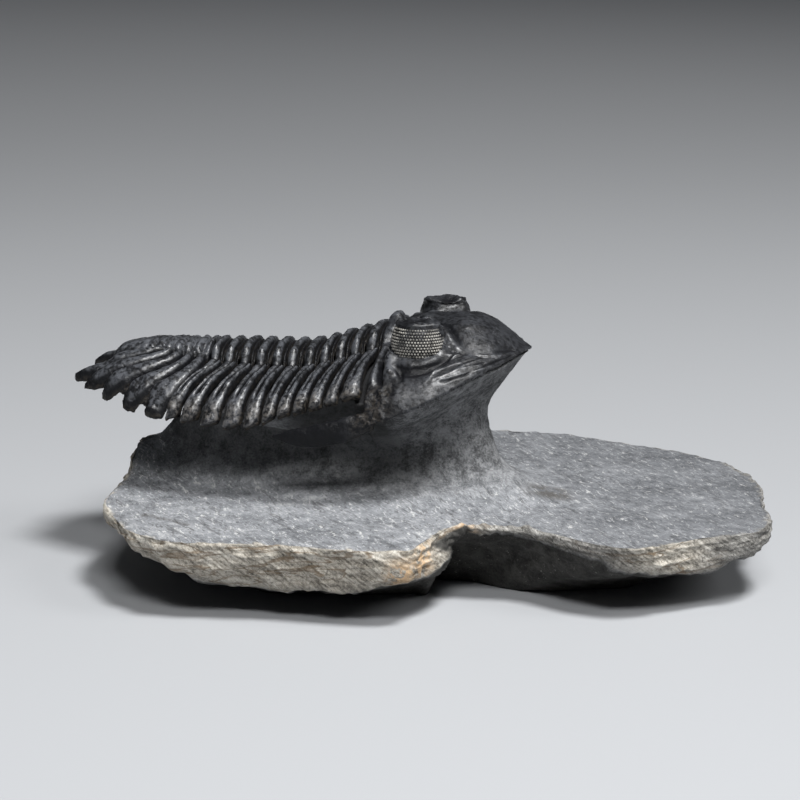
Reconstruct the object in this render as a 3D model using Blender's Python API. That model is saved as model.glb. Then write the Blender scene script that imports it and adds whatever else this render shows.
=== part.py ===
"""A fossil trilobite with long pleurae and tall eyes, left standing on a stalk of its slab.

The rock is one stone: a broken slab with a stalk carved out of it. The animal's shell is a head
shield with its two eyes and cheek spines, eleven free body rings and a spined tail shield.
Lengths are millimetres until the last step of each piece, which turns them into metres.
The animal has its own frame: x forward along its back, y to its left, z up from the ground.
"""

import bmesh
import bpy
import numpy as np
from math import cos, pi, radians, sin

# Where the animal stands in the object's frame
HEADING = radians(-12.0)  # its back is turned this far from +X
STAND = (-13.0, 0.0)  # the animal's own origin
RAISED = 3.9  # the rim's lower edge stands this much higher than the heights in the tables below
MM = 0.001
GAP = 0.3  # clear space between touching pieces
SHELL = 1.2  # thickness of the shell

# The back, from tail to head, as (x, height)
BACK_LINE = (
    (-27.6, 21.4), (-26.9, 23.3), (-25.4, 24.3), (-21.0, 25.0), (-15.0, 25.3), (-9.6, 25.6),
    (-2.6, 25.7), (1.9, 26.0), (6.4, 27.4), (10.6, 28.7), (13.0, 29.4),
)
FURROW_LINE = (
    (-31.5, 21.2), (-28.0, 21.9), (-25.0, 23.6), (-18.0, 24.2), (-9.7, 23.6), (-0.2, 23.6),
    (4.2, 24.4), (9.2, 26.0), (13.0, 27.2),
)
AXIS_HALF_WIDTH = (
    (-27.6, 1.6), (-24.0, 2.5), (-18.0, 3.3), (-12.3, 4.0), (-3.5, 5.0), (9.2, 5.6), (13.0, 5.7),
)
# The ends of the side lobes, from tail to head, as (x, y, height)
LOBE_ENDS = (
    (-31.5, 4.3, 20.8), (-29.7, 6.8, 20.1), (-26.5, 9.0, 19.3), (-22.9, 11.2, 18.7), (-19.2, 12.8, 18.2),
    (-15.3, 14.0, 18.0), (-13.0, 14.4, 17.8), (-9.7, 15.0, 17.5), (-6.6, 15.6, 17.5), (-3.5, 16.1, 17.7),
    (-1.3, 16.4, 18.6), (0.9, 16.6, 19.4), (3.2, 16.8, 20.0), (5.4, 16.9, 20.8), (7.7, 16.9, 21.4),
    (9.4, 16.8, 22.0), (13.0, 16.8, 22.8),
)
# How far a side lobe has fallen at each part of the way from the axis to its end
LOBE_FALL = ((0.0, 0.0), (0.16, 0.09), (0.43, 0.21), (0.68, 0.38), (0.85, 0.59), (0.94, 0.78), (1.0, 1.0))

# Body rings: the middle of each on the axis, and how far back its side lobes end
RING_X = (10.64, 8.5, 6.35, 4.15, 1.9, -0.4, -2.65, -4.95, -7.25, -9.5, -11.5)
RING_BACK = (-1.2, -1.0, -1.0, -1.0, -1.0, -0.9, -0.9, -1.6, -2.5, -3.4, -3.9)
RING_BEND = 1.3  # how late the lobes turn back on their way out
RING_STATIONS = 17
LOBE_ROOT = 5.0  # where the side lobes leave the axis
# Across a ring, from its front edge 1 to its rear edge -1, and up from the smooth back: a low front band,
# the pleural furrow, a tall rear band
RING_PROFILE = (
    (1.0, -0.8), (0.8, -0.05), (0.34, 0.1), (0.14, -0.2), (-0.1, 0.35), (-0.74, 0.3), (-1.0, -0.8),
)

# Tail shield
TAIL_FRONT = -12.7
TAIL_FRONT_END = (-16.6, 13.6)
TAIL_RINGS = (-13.5, -15.15, -16.75, -18.2, -19.6)
TAIL_TIPS = ((-19.2, 12.8), (-22.9, 11.2), (-26.5, 9.0), (-29.7, 6.8), (-31.7, 4.3))
TAIL_MID_TIP = -32.0
TAIL_LAST_NOTCH = (-29.6, 2.6)  # between the last pair of spines and the middle one
TAIL_SPINE = 2.3  # free length of a margin spine
TAIL_RIB = (-0.15, 0.3)  # height of the furrows and of the ribs over the smooth back
FAR_LIFT = 0.1  # the far side of the tail stands a little higher, by this slope

# Head shield, its margin from the cheek corner to the snout as (x, y, height)
HEAD_MARGIN = (
    (12.0, 18.6, 18.2), (14.2, 18.6, 19.1), (16.5, 18.3, 19.9), (18.3, 17.8, 20.7), (20.9, 16.8, 21.8),
    (23.3, 15.0, 22.95), (25.2, 13.0, 23.95), (27.05, 10.5, 24.8), (28.4, 8.0, 25.3), (29.6, 5.4, 25.6),
    (30.7, 2.9, 25.8), (31.5, 0.6, 26.0),
)
HEAD_BACK = 12.1
HEAD_STATIONS = (HEAD_BACK, 13.0, 14.0, 15.2, 17.0, 19.0, 21.0, 23.0, 25.0, 26.6, 28.0, 29.2, 30.2, 31.0, 31.5)
HEAD_ACROSS = (0.0, 0.12, 0.24, 0.33, 0.42, 0.52, 0.64, 0.76, 0.86, 0.94, 1.0)  # parts of the half width
HEAD_MIDDLE = ((12.0, 26.9), (18.0, 27.6), (24.0, 27.5), (28.0, 26.8), (31.5, 26.0))
LOBE_TOP = (
    (12.0, 29.6), (13.2, 30.1), (14.2, 29.4), (15.2, 29.9), (17.5, 30.3), (23.0, 30.5), (25.6, 29.7),
    (27.1, 28.8), (28.5, 27.9), (29.9, 26.8), (31.5, 26.1),
)
LOBE_HALF_WIDTH = (
    (12.0, 5.4), (14.2, 4.6), (17.0, 5.2), (20.0, 6.6), (24.0, 8.2), (27.0, 7.4), (29.2, 4.6), (31.5, 1.0),
)
EYE_CENTRE = (17.7, 9.3)
EYE_RADIUS = (3.5, 2.9)
EYE_TOP = 30.9
# An eye's barrel from foot to lid, as (way up, width against the radius)
EYE_LEVELS = ((0.0, 1.02), (0.12, 1.12), (0.25, 1.0), (0.75, 0.93), (0.9, 1.0), (1.0, 0.8))
CHEEK_SPINE = ((13.4, 17.4, 19.0), (9.0, 17.9, 17.3), (4.0, 17.7, 16.2), (-0.5, 17.0, 15.9))
CHEEK_SPINE_HALF = ((1.5, 1.0), (1.5, 1.0), (1.1, 0.8), (0.25, 0.25))

# The stone, in the object's own frame
CENTRE = (-1.0, -3.0)
STONE_SIDES = 48
BAY = (radians(-84.0), radians(-42.0))  # directions of the hollow broken out of the front rim
BAY_SIDES = 14
BED_RINGS = (0.16, 0.36, 0.56, 0.74, 0.88, 1.0)  # as parts of the way to the lip
# Broken rim of the slab: x, y and height of its upper edge, how far in and how high its lower edge is,
# and how far in the flat base begins
RIM = (
    (49.1, -1.6, 6.0, 0.8, 2.0, 11.0), (45.5, 11.3, 6.0, 1.0, 1.8, 10.0), (40.3, 17.6, 6.0, 1.5, 1.5, 10.0),
    (32.1, 24.1, 6.0, 2.0, 1.0, 10.0), (23.6, 28.8, 6.2, 2.0, 0.8, 10.0), (13.3, 30.7, 6.5, 2.0, 0.5, 9.5),
    (0.0, 31.5, 6.7, 2.0, 0.5, 9.0), (-15.0, 30.5, 7.0, 2.0, 0.6, 9.5), (-29.0, 25.5, 7.6, 2.0, 1.0, 10.0),
    (-36.5, 17.0, 8.4, 2.0, 2.0, 11.5), (-36.5, 9.1, 8.2, 2.0, 2.5, 12.5),
    (-37.5, 1.1, 7.0, 2.0, 3.0, 13.5), (-38.3, -3.7, 6.6, 2.0, 4.0, 16.0),
    (-39.1, -9.5, 6.5, 1.0, 4.8, 16.5), (-39.5, -13.5, 6.4, 0.6, 5.2, 17.0),
    (-37.8, -22.0, 6.4, 1.2, 4.3, 18.0), (-35.1, -29.8, 6.4, 2.0, 3.3, 19.0),
    (-30.8, -35.0, 6.5, 3.0, 2.2, 18.0), (-22.0, -36.5, 6.5, 3.0, 0.3, 15.5),
    (-12.7, -38.0, 6.5, 1.0, 0.3, 15.0), (-3.0, -40.5, 6.5, 1.5, 1.1, 17.0),
    (0.6, -40.4, 6.5, 1.5, 2.2, 17.0), (3.2, -35.0, 6.5, -0.4, 2.0, 12.0),
    (5.0, -30.6, 6.5, -2.6, 2.6, 7.0), (7.0, -27.8, 6.5, 0.1, 4.5, 9.0), (8.6, -27.0, 6.5, 0.1, 5.6, 11.5),
    (12.0, -27.4, 6.4, 0.1, 5.6, 12.5), (16.5, -27.9, 6.2, 0.2, 5.3, 13.5),
    (20.7, -31.0, 6.0, 0.3, 4.9, 17.0), (25.6, -35.7, 6.0, 0.5, 4.2, 21.0),
    (30.6, -37.2, 6.0, 1.5, 2.4, 21.0), (38.7, -32.1, 6.0, 0.3, 1.6, 18.0),
    (46.8, -27.9, 6.0, 1.5, 2.3, 18.0), (48.4, -22.5, 6.0, 0.5, 2.5, 16.5),
    (48.9, -11.4, 6.0, 0.8, 2.4, 14.5),
)
# Plan of the stalk under the animal, in the animal's frame: half of its upper lip, head to tail
LIP = (
    (31.1, 0.0), (30.8, 1.9), (29.9, 3.9), (28.9, 6.0), (27.8, 8.2), (26.5, 10.4), (24.8, 12.6), (22.8, 14.5),
    (20.6, 16.0), (18.2, 16.9), (16.0, 17.2), (14.2, 16.9), (12.0, 16.3), (9.0, 15.9), (4.0, 15.7),
    (-4.0, 14.8), (-10.0, 13.4), (-14.5, 11.2), (-17.3, 7.8), (-18.4, 3.8), (-18.7, 0.0),
)
NECK = (4.2, 21.4, 7.6)  # middle, half length and half width of the narrowest part
NECK_HEIGHT = (11.4, 14.6)  # at the sides and at the two ends
# The stalk's side from lip to neck as (way down, way in), then from neck to slab as (out, height left)
WALL = (
    (0.0, 0.0), (0.06, 0.05), (0.2, 0.16), (0.36, 0.36), (0.52, 0.62), (0.7, 0.86), (0.86, 0.97), (1.0, 1.0),
)
SLAB_BORDER = 0.5  # least width of the slab's top between the flare and the rim
# A spur of rock runs back from the stalk to the slab's rear corner: its two ends, height and width
SPUR = ((-30.0, 4.3), (-37.0, 6.4), 1.9, 3.5)
FLARE = ((0.9, 0.66), (2.2, 0.44), (4.2, 0.28), (7.5, 0.13), (12.0, 0.03))


def through(x, points):
    """The height at x of a smooth line through the points that never swings past them."""
    px, py = np.array(points, float).T
    step = np.diff(px)
    slope = np.diff(py) / step
    before, after = slope[:-1], slope[1:]
    agree = before * after > 0
    tangent = np.concatenate((slope[:1], np.zeros(len(px) - 2), slope[-1:]))
    tangent[1:-1] = np.where(agree, 2 * before * after / np.where(agree, before + after, 1), 0)
    x = np.clip(np.asarray(x, float), px[0], px[-1])
    i = np.clip(np.searchsorted(px, x) - 1, 0, len(step) - 1)
    t = (x - px[i]) / step[i]
    ease = t * t * (3 - 2 * t)
    pull = step[i] * (tangent[i] * t * (1 - t) ** 2 - tangent[i + 1] * t * t * (1 - t))
    return py[i] + (py[i + 1] - py[i]) * ease + pull


def column(rows, which):
    """(first, which) pairs of a table whose rows hold several values."""
    return [(row[0], row[which]) for row in rows]


def arch(x, y, middle, half_width, edge):
    """Height of a vault that falls from its middle to its edge as the side lobes do."""
    flat = 0.3 * half_width
    part = np.clip((np.abs(y) - flat) / (half_width - flat), 0, 1.25)
    fall = through(np.minimum(part, 1), LOBE_FALL) + 3.0 * np.maximum(part - 1, 0)
    return middle - (middle - edge) * fall


def body_vault(x, y):
    """Top of the body's side lobes, without rings or ribs."""
    half_width, edge = through(x, column(LOBE_ENDS, 1)), through(x, column(LOBE_ENDS, 2))
    height = arch(x, y, through(x, FURROW_LINE), half_width, edge)
    return height + FAR_LIFT * np.clip((2 - x) / 25, 0, 1) * np.maximum(y, 0)


def head_vault(x, y):
    """Top of the cheeks, without the middle lobe or the eyes."""
    half_width, edge = through(x, column(HEAD_MARGIN, 1)), through(x, column(HEAD_MARGIN, 2))
    return arch(x, y, through(x, HEAD_MIDDLE), half_width, edge)


def dome(y, half_width):
    """1 on the axis, 0 at the furrow beside it."""
    return np.maximum(0, 1 - (np.abs(y) / half_width) ** 2.4) ** 0.6


def body_top(x, y):
    """Top of the body with its arched axis, without rings or ribs."""
    rise = through(x, BACK_LINE) - through(x, FURROW_LINE)
    return body_vault(x, y) + rise * dome(y, through(x, AXIS_HALF_WIDTH))


def head_top(x, y):
    """Top of the head with its middle lobe, without the eyes."""
    rise = through(x, LOBE_TOP) - through(x, HEAD_MIDDLE)
    shelf = 1.3 * np.exp(-(((x - EYE_CENTRE[0]) / 4.2) ** 4) - ((np.abs(y) - 8.6) / 2.6) ** 4)
    return head_vault(x, y) + rise * dome(y, through(x, LOBE_HALF_WIDTH)) + shelf


def placed(points):
    """The animal's points in the object's frame."""
    x, y, z = np.moveaxis(np.asarray(points, float), -1, 0)
    turned_x = STAND[0] + x * cos(HEADING) - y * sin(HEADING)
    turned_y = STAND[1] + x * sin(HEADING) + y * cos(HEADING)
    return np.stack([turned_x, turned_y, z + RAISED], -1)


def animal_frame(x, y):
    """Plan position in the animal's frame of a point in the object's."""
    x, y = x - STAND[0], y - STAND[1]
    return x * cos(HEADING) + y * sin(HEADING), y * cos(HEADING) - x * sin(HEADING)


def material(name, colour, roughness):
    made = bpy.data.materials.new(name)
    made.use_nodes = True
    shader = made.node_tree.nodes["Principled BSDF"]
    shader.inputs["Base Color"].default_value = (*colour, 1)
    shader.inputs["Roughness"].default_value = roughness
    shader.inputs["Metallic"].default_value = 0
    made.diffuse_color = (*colour, 1)
    return made


def solid(name, points, faces, finish):
    """One closed mesh object from millimetre points, its doubles merged and its faces outward."""
    mesh = bpy.data.meshes.new(name)
    mesh.from_pydata((np.asarray(points).reshape(-1, 3) * MM).tolist(), [], faces)
    work = bmesh.new()
    work.from_mesh(mesh)
    bmesh.ops.remove_doubles(work, verts=work.verts, dist=0.000005)
    bmesh.ops.dissolve_degenerate(work, edges=work.edges, dist=0.000002)
    bmesh.ops.recalc_face_normals(work, faces=work.faces)
    work.to_mesh(mesh)
    work.free()
    mesh.shade_smooth()
    mesh.materials.append(finish)
    made = bpy.data.objects.new(name, mesh)
    bpy.context.scene.collection.objects.link(made)
    return made


def tube(name, rings, finish, start=None, end=None):
    """A closed skin over rings of points, closed at both ends by a fan from its middle."""
    rings = np.asarray(rings, float)
    count, sides = rings.shape[:2]
    start = rings[0].mean(0) if start is None else start
    end = rings[-1].mean(0) if end is None else end
    points = np.concatenate([rings.reshape(-1, 3), [start, end]])
    faces = []
    for row in range(count - 1):
        for side in range(sides):
            a, b = row * sides + side, row * sides + (side + 1) % sides
            faces.append((a, b, b + sides, a + sides))
    for side in range(sides):
        following = (side + 1) % sides
        faces.append((count * sides, following, side))
        faces.append((count * sides + 1, (count - 1) * sides + side, (count - 1) * sides + following))
    return solid(name, points, faces, finish)


def sheet(name, top, bottom, finish, folded=False):
    """A closed body between two grids of points; a folded one has its last row doubled back on itself."""
    rows, columns = top.shape[:2]
    points = np.concatenate([top.reshape(-1, 3), bottom.reshape(-1, 3)])
    under = rows * columns
    faces = []
    for row in range(rows - 1):
        for col in range(columns - 1):
            a = row * columns + col
            faces.append((a, a + 1, a + columns + 1, a + columns))
            faces.append((under + a, under + a + columns, under + a + columns + 1, under + a + 1))
    edge = [(0, col) for col in range(columns)]
    edge += [(row, columns - 1) for row in range(1, rows)]
    edge += [(rows - 1, col) for col in range(columns - 2, -1, -1)]
    edge += [(row, 0) for row in range(rows - 2, 0, -1)]
    for (row, col), (next_row, next_col) in zip(edge, edge[1:] + edge[:1]):
        if folded and row == next_row == rows - 1:
            continue
        a, b = row * columns + col, next_row * columns + next_col
        faces.append((a, under + a, under + b, b))
    return solid(name, points, faces, finish)


def join(target, others):
    """Unites the other bodies with the target and removes them."""
    for other in others:
        cut = target.modifiers.new("join " + other.name, "BOOLEAN")
        cut.operation = "UNION"
        cut.solver = "EXACT"
        cut.object = other
    graph = bpy.context.evaluated_depsgraph_get()
    joined = bpy.data.meshes.new_from_object(target.evaluated_get(graph))
    target.modifiers.clear()
    target.data = joined
    for other in others:
        bpy.data.objects.remove(other)
    joined.shade_smooth()
    return target


def lobe_x(number, beyond):
    """Where a body ring lies, from its middle on the axis to the end of its side lobe."""
    if number == len(RING_X):
        return TAIL_FRONT + (TAIL_FRONT_END[0] - TAIL_FRONT) * beyond ** RING_BEND
    return RING_X[number] + RING_BACK[number] * beyond ** RING_BEND


def body_ring(number, finish):
    """One free body ring: an arched axial band that runs out into a blunt lobe at each side."""
    reach = through(lobe_x(number, 1.0), column(LOBE_ENDS, 1))
    rings = []
    for station in np.linspace(-1, 1, RING_STATIONS):
        y = np.sign(station) * abs(station) ** 0.82 * reach
        beyond = np.clip((abs(y) - LOBE_ROOT) / (reach - LOBE_ROOT), 0, 1)
        middle = lobe_x(number, beyond)
        if number:
            front = (middle + lobe_x(number - 1, beyond) - GAP) / 2
        else:
            front = HEAD_BACK - GAP - 0.6 * beyond
        if number < len(RING_X) - 1:
            rear = (middle + lobe_x(number + 1, beyond) + GAP) / 2
        else:
            rear = lobe_x(number + 1, beyond) + GAP
        centre, half = (front + rear) / 2, (front - rear) / 2
        half *= 0.7 if abs(station) == 1 else 1
        loop = []
        for along, up in RING_PROFILE:
            x = centre + along * half
            loop.append((x, y, body_top(x, y) + up))
        for along in (-0.96, 0.94):
            x = centre + along * half
            loop.append((x, y, body_vault(x, y) - SHELL))
        rings.append(loop)
    return tube(f"thoracic_segment_{number + 1:02d}", placed(rings), finish)


def tail_shield(finish):
    """The tail shield: a tapering ringed axis, and ribs that sweep back into five pairs of margin spines."""
    # Each row runs from one margin over the axis to the other, as (which rib, how far out on its spine)
    rows = []
    for rib in range(len(TAIL_TIPS)):
        rows += [(rib + 0.0, 0.0), (rib + 0.3, 0.75), (rib + 0.5, 1.0), (rib + 0.72, 0.55)]
    rows += [(5.0, 0.0), (5.45, 0.6), (6.0, 1.0)]
    notches = [TAIL_FRONT_END] + [(x + TAIL_SPINE, y + 0.1) for x, y in TAIL_TIPS[1:]] + [TAIL_LAST_NOTCH]
    notches = np.array(notches)
    axis = [(0, TAIL_FRONT)] + [(k + 0.5, x) for k, x in enumerate(TAIL_RINGS)] + [(5, -20.6), (6, -27.6)]
    axis_part = 0.35  # of each half row
    top, bottom = [], []
    for place, out in rows:
        rib = min(int(place), 5)
        ring = through(place, axis)
        if place < 5:
            notch = notches[rib] * (1 - (place - rib)) + notches[rib + 1] * (place - rib)
            tip = np.array(TAIL_TIPS[rib])
        else:
            notch = notches[5] * (1, 6 - place)
            tip = np.array((TAIL_MID_TIP, 0.0))
        edge = notch + (tip - notch) * out
        half = through(ring, AXIS_HALF_WIDTH) if place < 6 else 0.0
        ridge = TAIL_RIB[0] + (TAIL_RIB[1] - TAIL_RIB[0]) * out
        line_top, line_bottom = [], []
        for part in np.linspace(-1, 1, 17):
            side, amount = np.sign(part), abs(part)
            over_axis = min(amount / axis_part, 1)
            down_rib = max(amount - axis_part, 0) / (1 - axis_part)
            y = half * over_axis + (edge[1] - half) * down_rib
            x = ring + (edge[0] - ring) * down_rib ** 1.5
            z = body_top(x, side * y) + ridge
            floor = min(body_vault(x, side * y), z) - SHELL * (1 - 0.5 * amount ** 4)
            line_top.append((x, side * y, max(z, floor + 0.4)))
            line_bottom.append((x, side * y, floor))
        top.append(line_top)
        bottom.append(line_bottom)
    return sheet("pygidium", placed(top), placed(bottom), finish, folded=True)


def eye(side, finish):
    """A tall eye: a short barrel that flares from its foot, with a lid on top."""
    loops = []
    for up, wide in EYE_LEVELS:
        loop = []
        for turn in np.linspace(0, 2 * pi, 18, endpoint=False):
            x = EYE_CENTRE[0] + EYE_RADIUS[0] * wide * cos(turn)
            y = EYE_CENTRE[1] + EYE_RADIUS[1] * wide * sin(turn)
            foot = head_vault(x, y) - SHELL / 2
            loop.append((x, side * y, foot + (EYE_TOP - foot) * up))
        loops.append(loop)
    return tube("eye", placed(loops), finish)


def cheek_spine(side, finish):
    """The flat blade that runs back from the corner of the cheek."""
    path = [(-x, y, z, high, wide) for (x, y, z), (high, wide) in zip(CHEEK_SPINE, CHEEK_SPINE_HALF)]
    rings = []
    for back in np.linspace(path[0][0], path[-1][0], 8):
        y, z, high, wide = (through(back, [(row[0], row[k]) for row in path]) for k in (1, 2, 3, 4))
        loop = []
        for turn in np.linspace(0, 2 * pi, 8, endpoint=False):
            loop.append((-back, side * (y + wide * cos(turn)), z + high * sin(turn)))
        rings.append(loop)
    return tube("spine", placed(rings), finish)


def head_shield(finish):
    """The head shield with its swollen middle lobe, its eyes and its cheek spines, grown as one."""
    across = np.concatenate([-np.array(HEAD_ACROSS[:0:-1]), HEAD_ACROSS])
    top, bottom = [], []
    for x in HEAD_STATIONS:
        half = through(x, column(HEAD_MARGIN, 1))
        y = across * half
        z = head_top(x, y)
        under = head_vault(x, y) - SHELL * (1 - 0.55 * np.abs(across) ** 6)
        top.append(np.stack([np.full_like(y, x), y, z], -1))
        bottom.append(np.stack([np.full_like(y, x), y, under], -1))
    shield = sheet("cephalon", placed(top), placed(bottom), finish)
    return join(shield, [eye(1, finish), eye(-1, finish), cheek_spine(1, finish), cheek_spine(-1, finish)])


def around(points, turns, which):
    """A value of a ring of points, read at the given directions from the stone's centre."""
    points = np.array(points, float)
    angle = np.arctan2(points[:, 1] - CENTRE[1], points[:, 0] - CENTRE[0])
    if which is None:
        value = np.hypot(points[:, 1] - CENTRE[1], points[:, 0] - CENTRE[0])
    else:
        value = points[:, which]
    order = np.argsort(angle)
    angle, value = angle[order], value[order]
    angle = np.concatenate([angle - 2 * pi, angle, angle + 2 * pi])
    return through(turns, np.stack([angle, np.tile(value, 3)], -1))


def bed(x, y):
    """Top of the stone under the shell, for a plan point in the object's frame."""
    ax, ay = animal_frame(x, y)
    under_body = body_vault(np.minimum(ax, 13), ay)
    under_head = head_vault(np.maximum(ax, 12), ay)
    blend = np.clip((ax - 10.5) / 3, 0, 1)
    lower = np.minimum(under_body, under_head)
    height = np.where(blend <= 0, under_body, np.where(blend >= 1, under_head, lower))
    return height - SHELL - GAP - 0.1 + RAISED


def spur(plan):
    """Extra height of the slab where the spur runs."""
    (start_x, start_y), (end_x, end_y), height, width = SPUR
    length = np.hypot(end_x - start_x, end_y - start_y)
    ahead = np.array(((end_x - start_x) / length, (end_y - start_y) / length))
    x, y = plan[..., 0] - start_x, plan[..., 1] - start_y
    along, aside = x * ahead[0] + y * ahead[1], x * ahead[1] - y * ahead[0]
    return height * np.exp(-((aside / width) ** 2)) * np.clip(0.5 + along / 3, 0, 1)


def stone(finish):
    """The slab with its broken rim, and the stalk that holds the animal."""
    turns = np.linspace(-pi, pi, STONE_SIDES, endpoint=False)
    turns = np.sort(np.concatenate([turns[(turns < BAY[0]) | (turns > BAY[1])], np.linspace(*BAY, BAY_SIDES)]))
    ray = np.stack([np.cos(turns), np.sin(turns)], -1)

    def ring(radius, height):
        plan = np.array(CENTRE) + ray * np.asarray(radius)[..., None]
        return np.concatenate([plan, np.broadcast_to(height, len(turns))[:, None]], 1)

    outline = placed([(x, y, 0) for x, y in LIP] + [(x, -y, 0) for x, y in LIP[-2:0:-1]])
    lip = around(outline, turns, None)
    corner = np.linspace(0, 2 * pi, 48, endpoint=False)
    neck_x = NECK[0] + NECK[1] * np.sign(np.cos(corner)) * np.abs(np.cos(corner)) ** 0.9
    neck_y = NECK[2] * np.sign(np.sin(corner)) * np.abs(np.sin(corner)) ** 0.9
    neck = around(placed(np.stack([neck_x, neck_y, 0 * corner], -1)), turns, None)
    along = np.abs(np.cos(turns - HEADING))
    neck_height = RAISED + NECK_HEIGHT[0] + (NECK_HEIGHT[1] - NECK_HEIGHT[0]) * along ** 3
    rings = []
    for part in BED_RINGS:
        plan = ring(lip * part, 0)
        plan[:, 2] = bed(plan[:, 0], plan[:, 1])
        rings.append(plan)
    lip_height = rings[-1][:, 2]
    for down, inward in WALL[1:]:
        rings.append(ring(lip + (neck - lip) * inward, lip_height + (neck_height - lip_height) * down))
    rim = around(RIM, turns, None)
    rim_height = around(RIM, turns, 2) + RAISED
    reach = np.minimum(1, (rim - neck - SLAB_BORDER) / FLARE[-1][0])
    for out, up in FLARE:
        rings.append(ring(neck + out * reach, rim_height + (neck_height - rim_height) * up))
        rings[-1][:, 2] += spur(rings[-1])
    inset = around(RIM, turns, 3)
    low = around(RIM, turns, 4) + RAISED
    ripple = 0.35 * np.sin(5 * turns + 1) + 0.25 * np.sin(11 * turns)
    for out, up in ((-0.4, 0.05), (0.0, 0.0)):
        rings.append(ring(rim + out, rim_height + up))
        rings[-1][:, 2] += spur(rings[-1])
    rings.append(ring(rim - 0.3 * inset + 0.5 + ripple, rim_height + 0.45 * (low - rim_height)))
    rings.append(ring(rim - inset, low + 0.02))
    base = rim - around(RIM, turns, 5)
    rings.append(ring(rim - inset + 0.55 * (base - rim + inset), 0.6 * low + 0.01))
    rings.append(ring(base, 0.0))
    middle = np.array([CENTRE[0], CENTRE[1], bed(CENTRE[0], CENTRE[1])])
    return tube("matrix", rings, finish, start=middle, end=(CENTRE[0], CENTRE[1], 0.0))


def build():
    for old in list(bpy.data.objects):
        bpy.data.objects.remove(old)
    shell = material("fossil shell", (0.03, 0.031, 0.034), 0.4)
    rock = material("slate grey limestone", (0.16, 0.165, 0.175), 0.85)
    stone(rock)
    head_shield(shell)
    for number in range(len(RING_X)):
        body_ring(number, shell)
    tail_shield(shell)


build()
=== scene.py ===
from itertools import product
from math import cos, pi, radians, sin

import bmesh
import bpy
import numpy as np
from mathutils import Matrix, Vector


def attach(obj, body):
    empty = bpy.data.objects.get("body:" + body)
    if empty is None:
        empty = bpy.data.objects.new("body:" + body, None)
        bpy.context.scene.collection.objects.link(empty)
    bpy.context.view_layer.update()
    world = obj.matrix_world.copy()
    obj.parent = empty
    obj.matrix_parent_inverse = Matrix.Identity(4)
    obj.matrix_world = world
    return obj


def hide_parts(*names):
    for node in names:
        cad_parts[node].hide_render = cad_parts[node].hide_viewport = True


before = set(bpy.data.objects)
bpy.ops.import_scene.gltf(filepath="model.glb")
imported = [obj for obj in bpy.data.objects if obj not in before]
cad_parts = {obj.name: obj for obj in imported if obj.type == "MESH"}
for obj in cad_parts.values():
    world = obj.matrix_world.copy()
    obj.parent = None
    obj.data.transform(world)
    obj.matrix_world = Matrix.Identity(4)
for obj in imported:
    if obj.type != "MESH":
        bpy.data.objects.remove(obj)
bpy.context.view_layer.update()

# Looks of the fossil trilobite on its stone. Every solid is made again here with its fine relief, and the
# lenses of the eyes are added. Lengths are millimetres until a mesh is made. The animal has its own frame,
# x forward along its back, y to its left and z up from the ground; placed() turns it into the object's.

MM = 0.001

# Where the animal stands in the object's frame
HEADING = radians(-12.0)  # its back is turned this far from +X
STAND = (-13.0, 0.0)  # the animal's own origin
RAISED = 3.9  # the rim's lower edge stands this much higher than the heights in the tables below
GAP = 0.3  # clear space between touching pieces
SHELL = 1.2  # thickness of the shell

# The back, from tail to head, as (x, height)
BACK_LINE = (
    (-27.6, 21.4), (-26.9, 23.3), (-25.4, 24.3), (-21.0, 25.0), (-15.0, 25.3), (-9.6, 25.6),
    (-2.6, 25.7), (1.9, 26.0), (6.4, 27.4), (10.6, 28.7), (13.0, 29.4),
)
FURROW_LINE = (
    (-31.5, 21.2), (-28.0, 21.9), (-25.0, 23.6), (-18.0, 24.2), (-9.7, 23.6), (-0.2, 23.6),
    (4.2, 24.4), (9.2, 26.0), (13.0, 27.2),
)
AXIS_HALF_WIDTH = (
    (-27.6, 1.6), (-24.0, 2.5), (-18.0, 3.3), (-12.3, 4.0), (-3.5, 5.0), (9.2, 5.6), (13.0, 5.7),
)
# The ends of the side lobes, from tail to head, as (x, y, height)
LOBE_ENDS = (
    (-31.5, 4.3, 20.8), (-29.7, 6.8, 20.1), (-26.5, 9.0, 19.3), (-22.9, 11.2, 18.7), (-19.2, 12.8, 18.2),
    (-15.3, 14.0, 18.0), (-13.0, 14.4, 17.8), (-9.7, 15.0, 17.5), (-6.6, 15.6, 17.5), (-3.5, 16.1, 17.7),
    (-1.3, 16.4, 18.6), (0.9, 16.6, 19.4), (3.2, 16.8, 20.0), (5.4, 16.9, 20.8), (7.7, 16.9, 21.4),
    (9.4, 16.8, 22.0), (13.0, 16.8, 22.8),
)
# How far a side lobe has fallen at each part of the way from the axis to its end
LOBE_FALL = ((0.0, 0.0), (0.16, 0.09), (0.43, 0.21), (0.68, 0.38), (0.85, 0.59), (0.94, 0.78), (1.0, 1.0))

# Body rings: the middle of each on the axis, and how far back its side lobes end
RING_X = (10.64, 8.5, 6.35, 4.15, 1.9, -0.4, -2.65, -4.95, -7.25, -9.5, -11.5)
RING_BACK = (-1.2, -1.0, -1.0, -1.0, -1.0, -0.9, -0.9, -1.6, -2.5, -3.4, -3.9)
RING_BEND = 1.3  # how late the lobes turn back on their way out
LOBE_ROOT = 5.0  # where the side lobes leave the axis

# Tail shield
TAIL_FRONT = -12.7
TAIL_FRONT_END = (-16.6, 13.6)
TAIL_RINGS = (-13.5, -15.15, -16.75, -18.2, -19.6)
TAIL_TIPS = ((-19.2, 12.8), (-22.9, 11.2), (-26.5, 9.0), (-29.7, 6.8), (-31.7, 4.3))
TAIL_MID_TIP = -32.0
TAIL_LAST_NOTCH = (-29.6, 2.6)
TAIL_SPINE = 1.7  # how far a spine stands free of the plate
FAR_LIFT = 0.1  # how much the far side of the tail is raised, for each millimetre from the axis

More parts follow.
